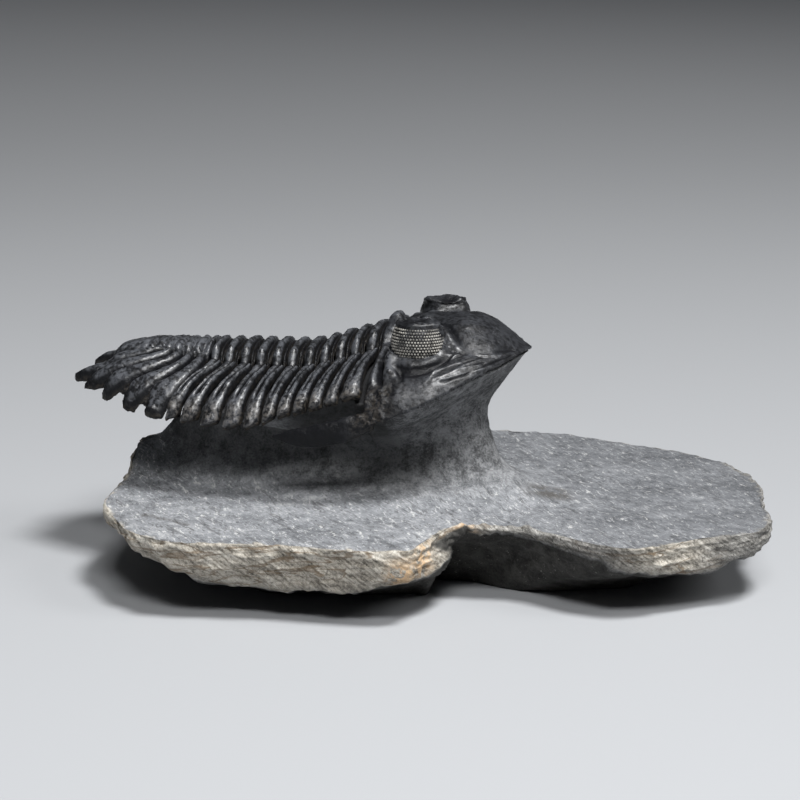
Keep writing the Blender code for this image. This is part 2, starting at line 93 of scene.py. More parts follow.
# Head shield, its margin from the cheek corner to the snout as (x, y, height)
HEAD_MARGIN = (
    (12.0, 18.6, 18.2), (14.2, 18.6, 19.1), (16.5, 18.3, 19.9), (18.3, 17.8, 20.7), (20.9, 16.8, 21.8),
    (23.3, 15.0, 22.95), (25.2, 13.0, 23.95), (27.05, 10.5, 24.8), (28.4, 8.0, 25.3), (29.6, 5.4, 25.6),
    (30.7, 2.9, 25.8), (31.5, 0.6, 26.0),
)
HEAD_BACK = 12.1
HEAD_MIDDLE = ((12.0, 26.9), (18.0, 27.6), (24.0, 27.5), (28.0, 26.8), (31.5, 26.0))
LOBE_TOP = (
    (12.0, 29.6), (13.2, 30.1), (14.2, 29.4), (15.2, 29.9), (17.5, 30.3), (23.0, 30.5), (25.6, 29.7),
    (27.1, 28.8), (28.5, 27.9), (29.9, 26.8), (31.5, 26.1),
)
LOBE_HALF_WIDTH = (
    (12.0, 5.4), (14.2, 4.6), (17.0, 5.2), (20.0, 6.6), (24.0, 8.2), (27.0, 7.4), (29.2, 4.6), (31.5, 1.0),
)
EYE_CENTRE = (17.7, 9.3)
EYE_RADIUS = (3.5, 2.9)
EYE_TOP = 30.9
# A cheek spine's middle line, and half its height and half its width along it
CHEEK_SPINE = ((13.4, 17.4, 19.0), (9.0, 17.9, 17.3), (4.0, 17.7, 16.2), (-0.5, 17.0, 15.9))
CHEEK_SPINE_HALF = ((1.5, 1.0), (1.7, 0.9), (1.4, 0.7), (0.2, 0.25))

# The stone, in the object's own frame. A row of RIM is x, y and height of the upper edge, how far in and
# how high the lower edge is, and how far in the flat base begins
CENTRE = (-1.0, -3.0)
RIM = (
    (49.1, -1.6, 6.0, 0.8, 2.0, 11.0), (45.5, 11.3, 6.0, 1.0, 1.8, 10.0), (40.3, 17.6, 6.0, 1.5, 1.5, 10.0),
    (32.1, 24.1, 6.0, 2.0, 1.0, 10.0), (23.6, 28.8, 6.2, 2.0, 0.8, 10.0), (13.3, 30.7, 6.5, 2.0, 0.5, 9.5),
    (0.0, 31.5, 6.7, 2.0, 0.5, 9.0), (-15.0, 30.5, 7.0, 2.0, 0.6, 9.5), (-29.0, 25.5, 7.6, 2.0, 1.0, 10.0),
    (-36.5, 17.0, 8.4, 2.0, 2.0, 11.5), (-36.5, 9.1, 8.2, 2.0, 2.5, 12.5),
    (-37.5, 1.1, 7.0, 2.0, 3.0, 13.5), (-38.3, -3.7, 6.6, 2.0, 4.0, 16.0),
    (-39.1, -9.5, 6.5, 1.0, 4.8, 16.5), (-39.5, -13.5, 6.4, 0.6, 5.2, 17.0),
    (-37.8, -22.0, 6.4, 1.2, 4.3, 18.0), (-35.1, -29.8, 6.4, 2.0, 3.3, 19.0),
    (-30.8, -35.0, 6.5, 3.0, 2.2, 18.0), (-22.0, -36.5, 6.5, 3.0, 0.3, 15.5),
    (-12.7, -38.0, 6.5, 1.0, 0.3, 15.0), (-3.0, -40.5, 6.5, 1.5, 1.1, 17.0),
    (0.6, -40.4, 6.5, 1.5, 2.2, 17.0), (3.2, -35.0, 6.5, -0.4, 2.0, 12.0),
    (5.0, -30.6, 6.5, -2.6, 2.6, 7.0), (7.0, -27.8, 6.5, 0.1, 4.5, 9.0), (8.6, -27.0, 6.5, 0.1, 5.6, 11.5),
    (12.0, -27.4, 6.4, 0.1, 5.6, 12.5), (16.5, -27.9, 6.2, 0.2, 5.3, 13.5),
    (20.7, -31.0, 6.0, 0.3, 4.9, 17.0), (25.6, -35.7, 6.0, 0.5, 4.2, 21.0),
    (30.6, -37.2, 6.0, 1.5, 2.4, 21.0), (38.7, -32.1, 6.0, 0.3, 1.6, 18.0),
    (46.8, -27.9, 6.0, 1.5, 2.3, 18.0), (48.4, -22.5, 6.0, 0.5, 2.5, 16.5),
    (48.9, -11.4, 6.0, 0.8, 2.4, 14.5),
)
# The edge of the stone's top under the shell, in the animal's frame, and the stalk below it
LIP = (
    (31.1, 0.0), (30.8, 1.9), (29.9, 3.9), (28.9, 6.0), (27.8, 8.2), (26.5, 10.4), (24.8, 12.6), (22.8, 14.5),
    (20.6, 16.0), (18.2, 16.9), (16.0, 17.2), (14.2, 16.9), (12.0, 16.3), (9.0, 15.9), (4.0, 15.7),
    (-4.0, 14.8), (-10.0, 13.4), (-14.5, 11.2), (-17.3, 7.8), (-18.4, 3.8), (-18.7, 0.0),
)
NECK = (4.2, 21.4, 7.6)  # middle, and half of its length and width
NECK_HEIGHT = (11.4, 14.6)  # beside the animal, and before and behind it
# How far in the stalk's side has come at each part of the way down, and the flare round its foot
WALL = (
    (0.0, 0.0), (0.06, 0.05), (0.2, 0.16), (0.36, 0.36), (0.52, 0.62), (0.7, 0.86), (0.86, 0.97), (1.0, 1.0),
)
FLARE = ((0.0, 1.0), (0.9, 0.66), (2.2, 0.44), (4.2, 0.28), (7.5, 0.13), (12.0, 0.03))
SLAB_BORDER = 0.5  # the least of the slab's top that the flare leaves free
SPUR = ((-30.0, 4.3), (-37.0, 6.4), 1.9, 3.5)  # start, end, height and half width


# Curves, vaults and frames

def through(x, points):
    """The height at x of a smooth line through the points that never swings past them."""
    px, py = np.array(points, float).T
    step = np.diff(px)
    slope = np.diff(py) / step
    before, after = slope[:-1], slope[1:]
    agree = before * after > 0
    tangent = np.concatenate((slope[:1], np.zeros(len(px) - 2), slope[-1:]))
    tangent[1:-1] = np.where(agree, 2 * before * after / np.where(agree, before + after, 1), 0)
    x = np.clip(np.asarray(x, float), px[0], px[-1])
    i = np.clip(np.searchsorted(px, x) - 1, 0, len(step) - 1)
    t = (x - px[i]) / step[i]
    ease = t * t * (3 - 2 * t)
    pull = step[i] * (tangent[i] * t * (1 - t) ** 2 - tangent[i + 1] * t * t * (1 - t))
    return py[i] + (py[i + 1] - py[i]) * ease + pull


def column(rows, which):
    """(first, which) pairs of a table whose rows hold several values."""
    return [(row[0], row[which]) for row in rows]


def rise(x, low, high):
    """0 below low, 1 above high, and a smooth step between."""
    t = np.clip((x - low) / (high - low), 0, 1)
    return t * t * (3 - 2 * t)


def arch(y, middle, half_width, edge):
    """Height of a vault that falls from its middle to its edge as the side lobes do."""
    flat = 0.3 * half_width
    part = np.clip((np.abs(y) - flat) / (half_width - flat), 0, 1.25)
    fall = through(np.minimum(part, 1), LOBE_FALL) + 3.0 * np.maximum(part - 1, 0)
    return middle - (middle - edge) * fall


def body_vault(x, y):
    """Top of the body's side lobes, without rings or ribs."""
    half_width, edge = through(x, column(LOBE_ENDS, 1)), through(x, column(LOBE_ENDS, 2))
    height = arch(y, through(x, FURROW_LINE), half_width, edge)
    return height + FAR_LIFT * np.clip((2 - x) / 25, 0, 1) * np.maximum(y, 0)


def head_vault(x, y):
    """Top of the cheeks, without the middle lobe or the eyes."""
    half_width, edge = through(x, column(HEAD_MARGIN, 1)), through(x, column(HEAD_MARGIN, 2))
    return arch(y, through(x, HEAD_MIDDLE), half_width, edge)


def snout_taper(x, y):
    """Thickness of the shell, which thins towards the point of the snout."""
    return 1 - 0.9 * rise(x - 0.25 * np.abs(y), 26.0, 31.0)


def dome(y, half_width, power=2.4, flatness=0.6):
    """1 on the axis, 0 at the furrow beside it."""
    return np.maximum(0, 1 - (np.abs(y) / half_width) ** power) ** flatness


def body_top(x, y):
    """Top of the body with its arched axis, without rings or ribs."""
    height = through(x, BACK_LINE) - through(x, FURROW_LINE)
    return body_vault(x, y) + height * dome(y, through(x, AXIS_HALF_WIDTH))


def head_top(x, y):
    """Top of the head with its middle lobe, without the eyes."""
    height = through(x, LOBE_TOP) - through(x, HEAD_MIDDLE)
    shelf = 1.3 * np.exp(-(((x - EYE_CENTRE[0]) / 4.2) ** 4) - ((np.abs(y) - 8.6) / 2.6) ** 4)
    return head_vault(x, y) + height * dome(y, 1.12 * through(x, LOBE_HALF_WIDTH), 2.0, 0.85) + shelf


def placed(points):
    """The animal's points in the object's frame."""
    x, y, z = np.moveaxis(np.asarray(points, float), -1, 0)
    turned_x = STAND[0] + x * cos(HEADING) - y * sin(HEADING)
    turned_y = STAND[1] + x * sin(HEADING) + y * cos(HEADING)
    return np.stack([turned_x, turned_y, z + RAISED], -1)


def animal_frame(points):
    """Points of the object's frame in the animal's."""
    x, y = points[..., 0] - STAND[0], points[..., 1] - STAND[1]
    along = x * cos(HEADING) + y * sin(HEADING)
    across = y * cos(HEADING) - x * sin(HEADING)
    return np.stack([along, across, points[..., 2] - RAISED], -1)


# Noise for wear and breakage

def scattered(cell, salt):
    """A number from -1 to 1 for each lattice cell."""
    mixed = cell[..., 0] * 73856093 ^ cell[..., 1] * 19349663 ^ cell[..., 2] * 83492791 ^ salt * 49979693
    mixed = (mixed ^ (mixed >> 13)) * 1274126177
    return ((mixed ^ (mixed >> 16)) & 0xFFFF) / 32767.5 - 1


def lumps(points, size, salt):
    """Smooth noise, from -1 to 1, with lumps this many millimetres wide."""
    at = np.asarray(points) / size + 0.37 * salt
    cell = np.floor(at).astype(np.int64)
    part = at - cell
    ease = part ** 3 * (part * (part * 6 - 15) + 10)
    total = 0.0
    for corner in product((0, 1), repeat=3):
        weight = np.prod(np.where(corner, ease, 1 - ease), axis=-1)
        total = total + weight * scattered(cell + np.array(corner), salt)
    return total


TWIST = np.array([[0.8, 0.6, 0.0], [-0.48, 0.64, 0.6], [0.36, -0.48, 0.8]])


def rough(points, size, octaves, salt, keep=0.5):
    """Noise whose lumps get finer and lower, an octave at a time."""
    total, height = 0.0, 1.0
    for octave in range(octaves):
        total = total + height * lumps(points, size, salt + octave)
        points, size, height = points @ TWIST.T, size * 0.5, height * keep
    return total


def ridged(points, size, octaves, salt):
    """Noise with sharp crests, as in broken rock."""
    total, height = 0.0, 1.0
    for octave in range(octaves):
        total = total + height * (1 - 2 * np.abs(lumps(points, size, salt + octave)))
        points, size, height = points @ TWIST.T, size * 0.5, height * 0.5
    return total


# Meshes

def in_scene(name, mesh, finishes):
    """A smooth-shaded object for a mesh, in these finishes alone."""
    mesh.materials.clear()
    for coat in finishes:
        mesh.materials.append(coat)
    mesh.shade_smooth()
    made = bpy.data.objects.new(name, mesh)
    bpy.context.scene.collection.objects.link(made)
    return made


def piece(name, points, faces, finishes):
    """A mesh object from points in millimetres."""
    mesh = bpy.data.meshes.new(name)
    mesh.from_pydata((np.asarray(points, float).reshape(-1, 3) * MM).tolist(), [], faces)
    return in_scene(name, mesh, finishes)


def vectors(items, name):
    """A value of each of a mesh's items, which has three parts."""
    flat = np.empty(len(items) * 3, np.float32)
    items.foreach_get(name, flat)
    return flat.reshape(-1, 3).astype(float)


def points_of(made):
    """The mesh's points in millimetres."""
    return vectors(made.data.vertices, "co") / MM


def normals_of(made):
    """The way that the mesh's surface faces at each of its points."""
    return vectors(made.data.vertex_normals, "vector")


def move_points(made, points):
    """Puts the mesh's points at these places in millimetres."""
    made.data.vertices.foreach_set("co", (points * MM).astype(np.float32).ravel())
    made.data.update()


def mark(made, name, values):
    """Stores a value for each point, which the finishes read."""
    found = made.data.attributes.get(name) or made.data.attributes.new(name, "FLOAT", "POINT")
    found.data.foreach_set("value", np.asarray(values, np.float32).ravel())


def outward(made):
    """Merges doubles and turns every face outward."""
    work = bmesh.new()
    work.from_mesh(made.data)
    bmesh.ops.remove_doubles(work, verts=work.verts, dist=0.000001)
    bmesh.ops.recalc_face_normals(work, faces=work.faces)
    work.to_mesh(made.data)
    work.free()


def tube_faces(rows, columns):
    """Quads between closed rings, and a fan onto one more point at each end."""
    index = np.arange(rows * columns).reshape(rows, columns)
    following = np.roll(index, -1, 1)
    quads = np.stack([index[:-1], following[:-1], following[1:], index[1:]], -1).reshape(-1, 4)
    start, end = rows * columns, rows * columns + 1
    first = np.stack([np.full(columns, start), following[0], index[0]], -1)
    last = np.stack([np.full(columns, end), index[-1], following[-1]], -1)
    return quads.tolist() + first.tolist() + last.tolist()


def tube(name, rings, finishes, start=None, end=None):
    """A closed skin over rings of points."""
    rings = np.asarray(rings, float)
    start = rings[0].mean(0) if start is None else start
    end = rings[-1].mean(0) if end is None else end
    points = np.concatenate([rings.reshape(-1, 3), [start, end]])
    made = piece(name, points, tube_faces(*rings.shape[:2]), finishes)
    outward(made)
    return made


def slab_between(name, top, bottom, finishes):
    """A closed body between two grids of points."""
    rows, columns = top.shape[:2]
    index = np.arange(rows * columns).reshape(rows, columns)
    quads = np.stack([index[:-1, :-1], index[:-1, 1:], index[1:, 1:], index[1:, :-1]], -1).reshape(-1, 4)
    under = quads[:, ::-1] + rows * columns
    edge = np.concatenate([index[0], index[1:, -1], index[-1, -2::-1], index[-2:0:-1, 0]])
    following = np.roll(edge, -1)
    wall = np.stack([edge, edge + rows * columns, following + rows * columns, following], -1)
    points = np.concatenate([top.reshape(-1, 3), bottom.reshape(-1, 3)])
    made = piece(name, points, np.concatenate([quads, under, wall]).tolist(), finishes)
    outward(made)
    return made


def grown_together(name, bodies, grain, finishes):
    """One skin over several overlapping bodies, in facets of this size."""
    bpy.ops.object.select_all(action="DESELECT")
    for body in bodies:
        body.select_set(True)
    bpy.context.view_layer.objects.active = bodies[0]
    bpy.ops.object.join()
    joined = bpy.context.view_layer.objects.active
    skin = joined.modifiers.new("one skin", "REMESH")
    skin.mode = "VOXEL"
    skin.voxel_size = grain * MM
    graph = bpy.context.evaluated_depsgraph_get()
    mesh = bpy.data.meshes.new_from_object(joined.evaluated_get(graph))
    bpy.data.objects.remove(joined)
    return in_scene(name, mesh, finishes)


def near_path(points, path):
    """Each point's distance to a line of points, and how far along the line that is, from 0 to 1."""
    path = np.asarray(path, float)
    lengths = np.linalg.norm(np.diff(path, axis=0), axis=1)
    before = np.concatenate([[0], np.cumsum(lengths)])
    best = np.full(len(points), 1e9)
    along = np.zeros(len(points))
    for start, end, length, done in zip(path, path[1:], lengths, before):
        step = end - start
        part = np.clip((points - start) @ step / length ** 2, 0, 1)
        distance = np.linalg.norm(points - start - part[:, None] * step, axis=1)
        closer = distance < best
        best = np.where(closer, distance, best)
        along = np.where(closer, (done + part * length) / before[-1], along)
    return best, along


def stroke(points, path, width, height, fade=0.15):
    """Height of a ridge, or of a furrow if it is negative, along a line that fades out at its ends."""
    distance, along = near_path(points, path)
    ends = rise(along, 0, fade) * rise(1 - along, 0, fade) if fade else 1
    return height * ends * np.exp(-((distance / width) ** 2))


# Node trees

class Socket:
    """An output of a node. Operators on it add Math nodes."""

    def __init__(self, graph, output):
        self.graph = graph
        self.output = output

    def math(self, operation, *values):
        return self.graph.add("ShaderNodeMath", {"operation": operation}, dict(enumerate(values)))

    def __add__(self, other):
        return self.math("ADD", self, other)

    def __mul__(self, other):
        return self.math("MULTIPLY", self, other)

    __radd__ = __add__
    __rmul__ = __mul__

    def __sub__(self, other):
        return self.math("SUBTRACT", self, other)

    def __rsub__(self, other):
        return self.math("SUBTRACT", other, self)

    def __truediv__(self, other):
        return self.math("DIVIDE", self, other)

    def __pow__(self, other):
        return self.math("POWER", self, other)

    def between(self, low, high):
        """0 where the value is below low, 1 above high, and a smooth step between."""
        settings = {"interpolation_type": "SMOOTHSTEP"}
        return self.graph.add("ShaderNodeMapRange", settings, {0: self, 1: low, 2: high})


class Graph:
    """A node tree under construction."""

    def __init__(self, tree):
        self.tree = tree

    def add(self, kind, settings=None, values=None, output=0):
        """Adds a node, applies its settings, then the values or links of its sockets."""
        node = self.tree.nodes.new(kind)
        for name, value in (settings or {}).items():
            if name == "stops":
                stops = node.color_ramp.elements
                stops[0].position, stops[-1].position = value[0][0], value[-1][0]
                for place, _ in value[1:-1]:
                    stops.new(place)
                for stop, (_, colour) in zip(stops, value):
                    stop.color = (*colour, 1)
            else:
                setattr(node, name, value)
        for name, value in (values or {}).items():
            if isinstance(value, Socket):
                self.tree.links.new(value.output, node.inputs[name])
            else:
                node.inputs[name].default_value = value
        return Socket(self, node.outputs[output])

    def blend(self, amount, first, second):
        """A colour between two others."""
        first, second = ((*c, 1) if isinstance(c, tuple) else c for c in (first, second))
        values = {0: amount, 6: first, 7: second}
        return self.add("ShaderNodeMix", {"data_type": "RGBA"}, values, output=2)

    def coats(self, colour, *coats):
        """A colour with others laid over it one by one, each as its amount and its colour."""
        for amount, coat in coats:
            colour = self.blend(amount, colour, coat)
        return colour

    def ramp(self, value, *stops):
        """A colour that runs from stop to stop, each as its place from 0 to 1 and its colour."""
        return self.add("ShaderNodeValToRGB", {"stops": stops}, {0: value})

    def noise(self, place, size, detail=2, roughness=0.5, distortion=0.0):
        """Noise from 0 to 1 with lumps this many millimetres wide."""
        values = {"Vector": place, "Scale": 1 / size, "Detail": detail, "Roughness": roughness,
                  "Distortion": distortion}
        return self.add("ShaderNodeTexNoise", None, values)

    def cells(self, place, size):
        """Distance to the middle of the nearest of many cells this many millimetres wide."""
        values = {"Vector": place, "Scale": 1 / size}
        return self.add("ShaderNodeTexVoronoi", {"feature": "F1"}, values, output="Distance")

    def turned(self, place, turn, stretch):
        """Coordinates turned and then stretched, so that a pattern runs along one way."""
        values = {"Vector": place, "Rotation": turn, "Scale": stretch}
        return self.add("ShaderNodeMapping", {"vector_type": "TEXTURE"}, values)

    def marked(self, name):
        """A value stored on the mesh."""
        return self.add("ShaderNodeAttribute", {"attribute_name": name}, output="Fac")


def finish(name):
    """A new material: its tree, its shader node and its coordinates in millimetres."""
    made = bpy.data.materials.new(name)
    made.use_nodes = True
    shader = made.node_tree.nodes["Principled BSDF"]
    graph = Graph(made.node_tree)
    here = graph.add("ShaderNodeTexCoord", output="Object")
    values = {"Vector": here, "Scale": (1 / MM, 1 / MM, 1 / MM)}
    place = graph.add("ShaderNodeMapping", None, values)
    return made, graph, shader, place


def connect(graph, shader, colour, roughness, height, depth):
    """Links the colour, the roughness and a bump of this depth in millimetres to the shader."""
    values = {"Height": height, "Distance": depth * MM, "Strength": 1.0}
    bump = graph.add("ShaderNodeBump", None, values)
    for name, source in (("Base Color", colour), ("Roughness", roughness), ("Normal", bump)):
        graph.tree.links.new(source.output, shader.inputs[name])


def stone_finish():
    """Blue-grey limestone: flecked and scratched on top, dark where carved, layered beige where broken.
    Painted shade darkens the top's right and far side, the stalk's foot, the stone under the shell and the
    slab's underside.
    """
    made, graph, shader, place = finish("slate grey limestone")
    shader.inputs["Specular IOR Level"].default_value = 0.3
    marks = ("broken", "carved", "hidden", "layer", "rust", "under", "beige", "grey side", "stain", "hollow")
    broken, carved, hidden, layer, rust, under, beige, painted_side_shade, stain, hollow = map(graph.marked, marks)

    patches = graph.noise(place, 9.0, detail=3)
    mottle = graph.noise(place, 1.6, detail=5, roughness=0.7)
    grain = graph.noise(place, 0.32, detail=3, roughness=0.75)
    speckle = graph.noise(place, 0.6, detail=4, roughness=0.8)
    streak_place = graph.turned(place, (0, 0, radians(-62)), (3.4, 0.5, 1.0))
    streaks = graph.noise(streak_place, 0.5, detail=3, roughness=0.65)
    stains = graph.noise(streak_place, 2.2, detail=5, roughness=0.75)
    fleck_place = graph.turned(place, (0, 0, radians(-75)), (2.6, 0.8, 1.0))
    flecks = graph.noise(fleck_place, 0.9, detail=4, roughness=0.8)

    # Painted shade: the top is darker and greyer towards the slab's right and its far side.
    tone = mottle * 0.4 + grain * 0.3 + patches * 0.3 - painted_side_shade * 0.065
    top = graph.coats(
        graph.ramp(tone, (0.34, (0.06, 0.063, 0.07)), (0.45, (0.18, 0.188, 0.2)),
                   (0.54, (0.27, 0.28, 0.295)), (0.66, (0.5, 0.505, 0.51))),
        (stains.between(0.55, 0.62) * 0.55, (0.06, 0.06, 0.062)),
        (streaks.between(0.58, 0.64) * 0.5, (0.55, 0.555, 0.565)),
        ((1 - streaks).between(0.6, 0.67) * 0.5, (0.05, 0.051, 0.055)),
        (flecks.between(0.58, 0.65) * 0.75, (0.66, 0.66, 0.65)),
        ((1 - flecks).between(0.57, 0.64) * 0.65, (0.05, 0.05, 0.052)),
        (painted_side_shade * 0.35, (0.1, 0.104, 0.112)),
        (stain * mottle.between(0.35, 0.55), (0.055, 0.048, 0.04)))
    tooled = graph.coats(
        graph.blend(tone.between(0.4, 0.6), (0.045, 0.046, 0.048), (0.25, 0.255, 0.262)),
        (speckle.between(0.58, 0.68) * 0.5, (0.34, 0.34, 0.34)),
        # Painted shade at the foot of the stalk and on the stone just under the near cheek.
        (hollow * 0.55, (0.012, 0.012, 0.011)),
        # Painted shade: the stone's top under the shell is near black.
        (hidden, (0.008, 0.008, 0.009)))

    strata_place = graph.turned(place, (0, 0, 0), (5.0, 5.0, 1.3))
    strata = graph.noise(strata_place, 1.0, detail=5, roughness=0.7, distortion=0.6)
    hatch_place = graph.turned(place, (0, radians(38), 0), (3.0, 3.0, 0.4))
    hatch = graph.noise(hatch_place, 1.0, detail=4, roughness=0.75)
    vein_place = graph.turned(place, (0, radians(-4), 0), (8.0, 8.0, 1.1))
    veins = graph.noise(vein_place, 1.4, detail=2, roughness=0.5, distortion=0.6)
    brown = veins.between(0.555, 0.575) * (1 - veins).between(0.39, 0.41)
    break_tone = strata * 0.3 + hatch * 0.45 + grain * 0.25
    beige_break = graph.ramp(break_tone, (0.37, (0.04, 0.037, 0.032)), (0.44, (0.23, 0.21, 0.175)),
                             (0.52, (0.47, 0.435, 0.375)), (0.62, (0.76, 0.73, 0.66)))
    grey_break = graph.ramp(break_tone, (0.38, (0.03, 0.03, 0.03)), (0.46, (0.11, 0.11, 0.108)),
                            (0.54, (0.24, 0.238, 0.23)), (0.64, (0.5, 0.49, 0.47)))
    fresh_break = graph.coats(
        graph.blend(beige, grey_break, beige_break),
        (layer.between(0.75, 1.0) * 0.5, (0.11, 0.108, 0.1)),
        ((1 - speckle).between(0.54, 0.62) * (0.85 - 0.35 * beige), (0.045, 0.042, 0.037)),
        (brown * beige * 0.6, (0.13, 0.08, 0.036)),
        (rust * mottle.between(0.42, 0.52), (0.8, 0.53, 0.29)))
    # Painted shade: the slab's underside, its flat base and the bay under the rim are coloured dark.
    shaded = graph.coats(
        graph.blend(tone.between(0.38, 0.62), (0.014, 0.0135, 0.0125), (0.07, 0.068, 0.063)),
        (speckle.between(0.63, 0.7) * 0.7, (0.4, 0.39, 0.36)))
    colour = graph.coats(top, (carved, tooled), (broken, fresh_break), (under, shaded))

    chips = graph.cells(place, 0.7)
    height = mottle * 0.35 + grain * 0.4 + streaks * 0.2 + speckle * 0.35
    height = height + broken * (chips * 0.4 + hatch * 0.6)
    connect(graph, shader, colour, 0.66 + grain * 0.3, height, 0.2)
    return made


def shell_finish():
    """Black polished calcite, paler and bluish along its crests, partly rubbed and partly painted sheen, and
    dusty in its furrows.
    """
    made, graph, shader, place = finish("black fossil shell")
    shader.inputs["Specular IOR Level"].default_value = 0.2
    shader.inputs["Coat Roughness"].default_value = 0.4
    shader.inputs["Coat IOR"].default_value = 1.7
    crest, dust = graph.marked("crest"), graph.marked("dust")

    cloud = graph.noise(place, 1.9, detail=4, roughness=0.65)
    grain = graph.noise(place, 0.24, detail=3, roughness=0.75)
    pits = graph.noise(place, 0.55, detail=4, roughness=0.7)
    # Paler bluish crests: partly real wear, partly a painted sheen.
    wear_and_sheen = crest * (cloud * 0.4 + pits * 0.6).between(0.44, 0.56)
    dusty = dust * pits.between(0.42, 0.6)
    colour = graph.coats(
        graph.blend(cloud, (0.003, 0.0031, 0.0036), (0.013, 0.0135, 0.016)),
        (wear_and_sheen * 0.6, (0.13, 0.138, 0.155)),
        (dusty, (0.2, 0.165, 0.12)))
    roughness = 0.2 + grain * 0.22 + cloud * 0.1 + dusty * 0.3
    height = grain * 0.25 + pits * 0.8 + cloud * 0.5
    connect(graph, shader, colour, roughness, height, 0.17)
    polish = crest.between(0.05, 0.6) * (0.45 + 0.55 * pits.between(0.4, 0.56)) * (1 - dusty)
    graph.tree.links.new(polish.output, shader.inputs["Coat Weight"])
    return made


def lens_finish():
    """Grey calcite lenses of the eye."""
    made, graph, shader, place = finish("calcite lens")
    shader.inputs["Specular IOR Level"].default_value = 0.6
    cloud = graph.noise(place, 1.3, detail=2)
    colour = graph.blend(cloud.between(0.38, 0.58), (0.08, 0.077, 0.07), (0.3, 0.288, 0.262))
    connect(graph, shader, colour, 0.3 + cloud * 0.1, cloud, 0.02)
    return made


# The stone

STONE_TURNS = 396  # points in each ring of the stone
HOLLOW, HOLLOW_WIDTH = 0.22, 0.7  # how much further in the stalk is below the snout, and how far round
BED_ROWS, WALL_ROWS, TOP_ROWS, EDGE_ROWS, UNDER_ROWS, BASE_ROWS = 38, 44, 82, 46, 24, 6
# Where the slab is marked: a hairline crack, a brown stain, the middle of a cream patch of the broken edge,
# the row of RIM in the middle of the bay, and rusty places as x, y, height and reach
CRACK = ((-34.0, -21.0, 0.0), (-31.5, -23.2, 0.0), (-29.5, -24.6, 0.0), (-27.8, -27.4, 0.0))
STAIN_PLACE = (20.1, -10.0)
CREAM_X = 34.0
BAY_ROW = 26
RUST_PLACES = ((3.6, -37.4, 8.4, 2.3), (0.0, -40.0, 7.4, 1.5), (8.5, -27.6, 9.3, 1.2))


def around(points, turns, which=None):
    """A value of a ring of points, or how far out they are, in these directions from the stone's centre."""
    points = np.array(points, float)
    x, y = points[:, 0] - CENTRE[0], points[:, 1] - CENTRE[1]
    angle = np.arctan2(y, x)
    value = np.hypot(y, x) if which is None else points[:, which]
    order = np.argsort(angle)
    angle, value = angle[order], value[order]
    angle = np.concatenate([angle - 2 * pi, angle, angle + 2 * pi])
    return through(turns, np.stack([angle, np.tile(value, 3)], -1))


def directions(count):
    """Directions round the stone, closer together at its front and in the hollow of its rim."""
    angle = np.linspace(-pi, pi, 4001)
    density = 1 + 0.8 * np.exp(-((angle + pi / 2) / 0.9) ** 2) + 1.6 * np.exp(-((angle + 1.15) / 0.3) ** 2)
    total = np.concatenate([[0], np.cumsum((density[1:] + density[:-1]) / 2)])
    return np.interp(np.linspace(0, total[-1], count, endpoint=False), total, angle)


def bed(plan):
    """Top of the stone under the shell."""
    local = animal_frame(plan)
    x, y = local[..., 0], local[..., 1]
    under_body = body_vault(np.minimum(x, 13), y)
    under_head = head_vault(np.maximum(x, 12), y)
    share = rise(x, 10.5, 13.5)
    lower = np.minimum(under_body, under_head)
    height = np.where(share <= 0, under_body, np.where(share >= 1, under_head, lower))
    return height - SHELL * snout_taper(x, y) - GAP - 0.1 + RAISED


def spur(plan):
    """Extra height of the slab where a spur of rock runs back from the stalk."""
    (start_x, start_y), (end_x, end_y), height, width = SPUR
    length = np.hypot(end_x - start_x, end_y - start_y)
    ahead = np.array(((end_x - start_x) / length, (end_y - start_y) / length))
    x, y = plan[..., 0] - start_x, plan[..., 1] - start_y
    along, aside = x * ahead[0] + y * ahead[1], x * ahead[1] - y * ahead[0]
    steep = 1 + 1.3 * np.exp(-((np.maximum(along, 0) / 3.5) ** 1.5))
    return height * steep * np.exp(-((aside / width) ** 2)) * np.clip(0.5 + along / 3, 0, 1)


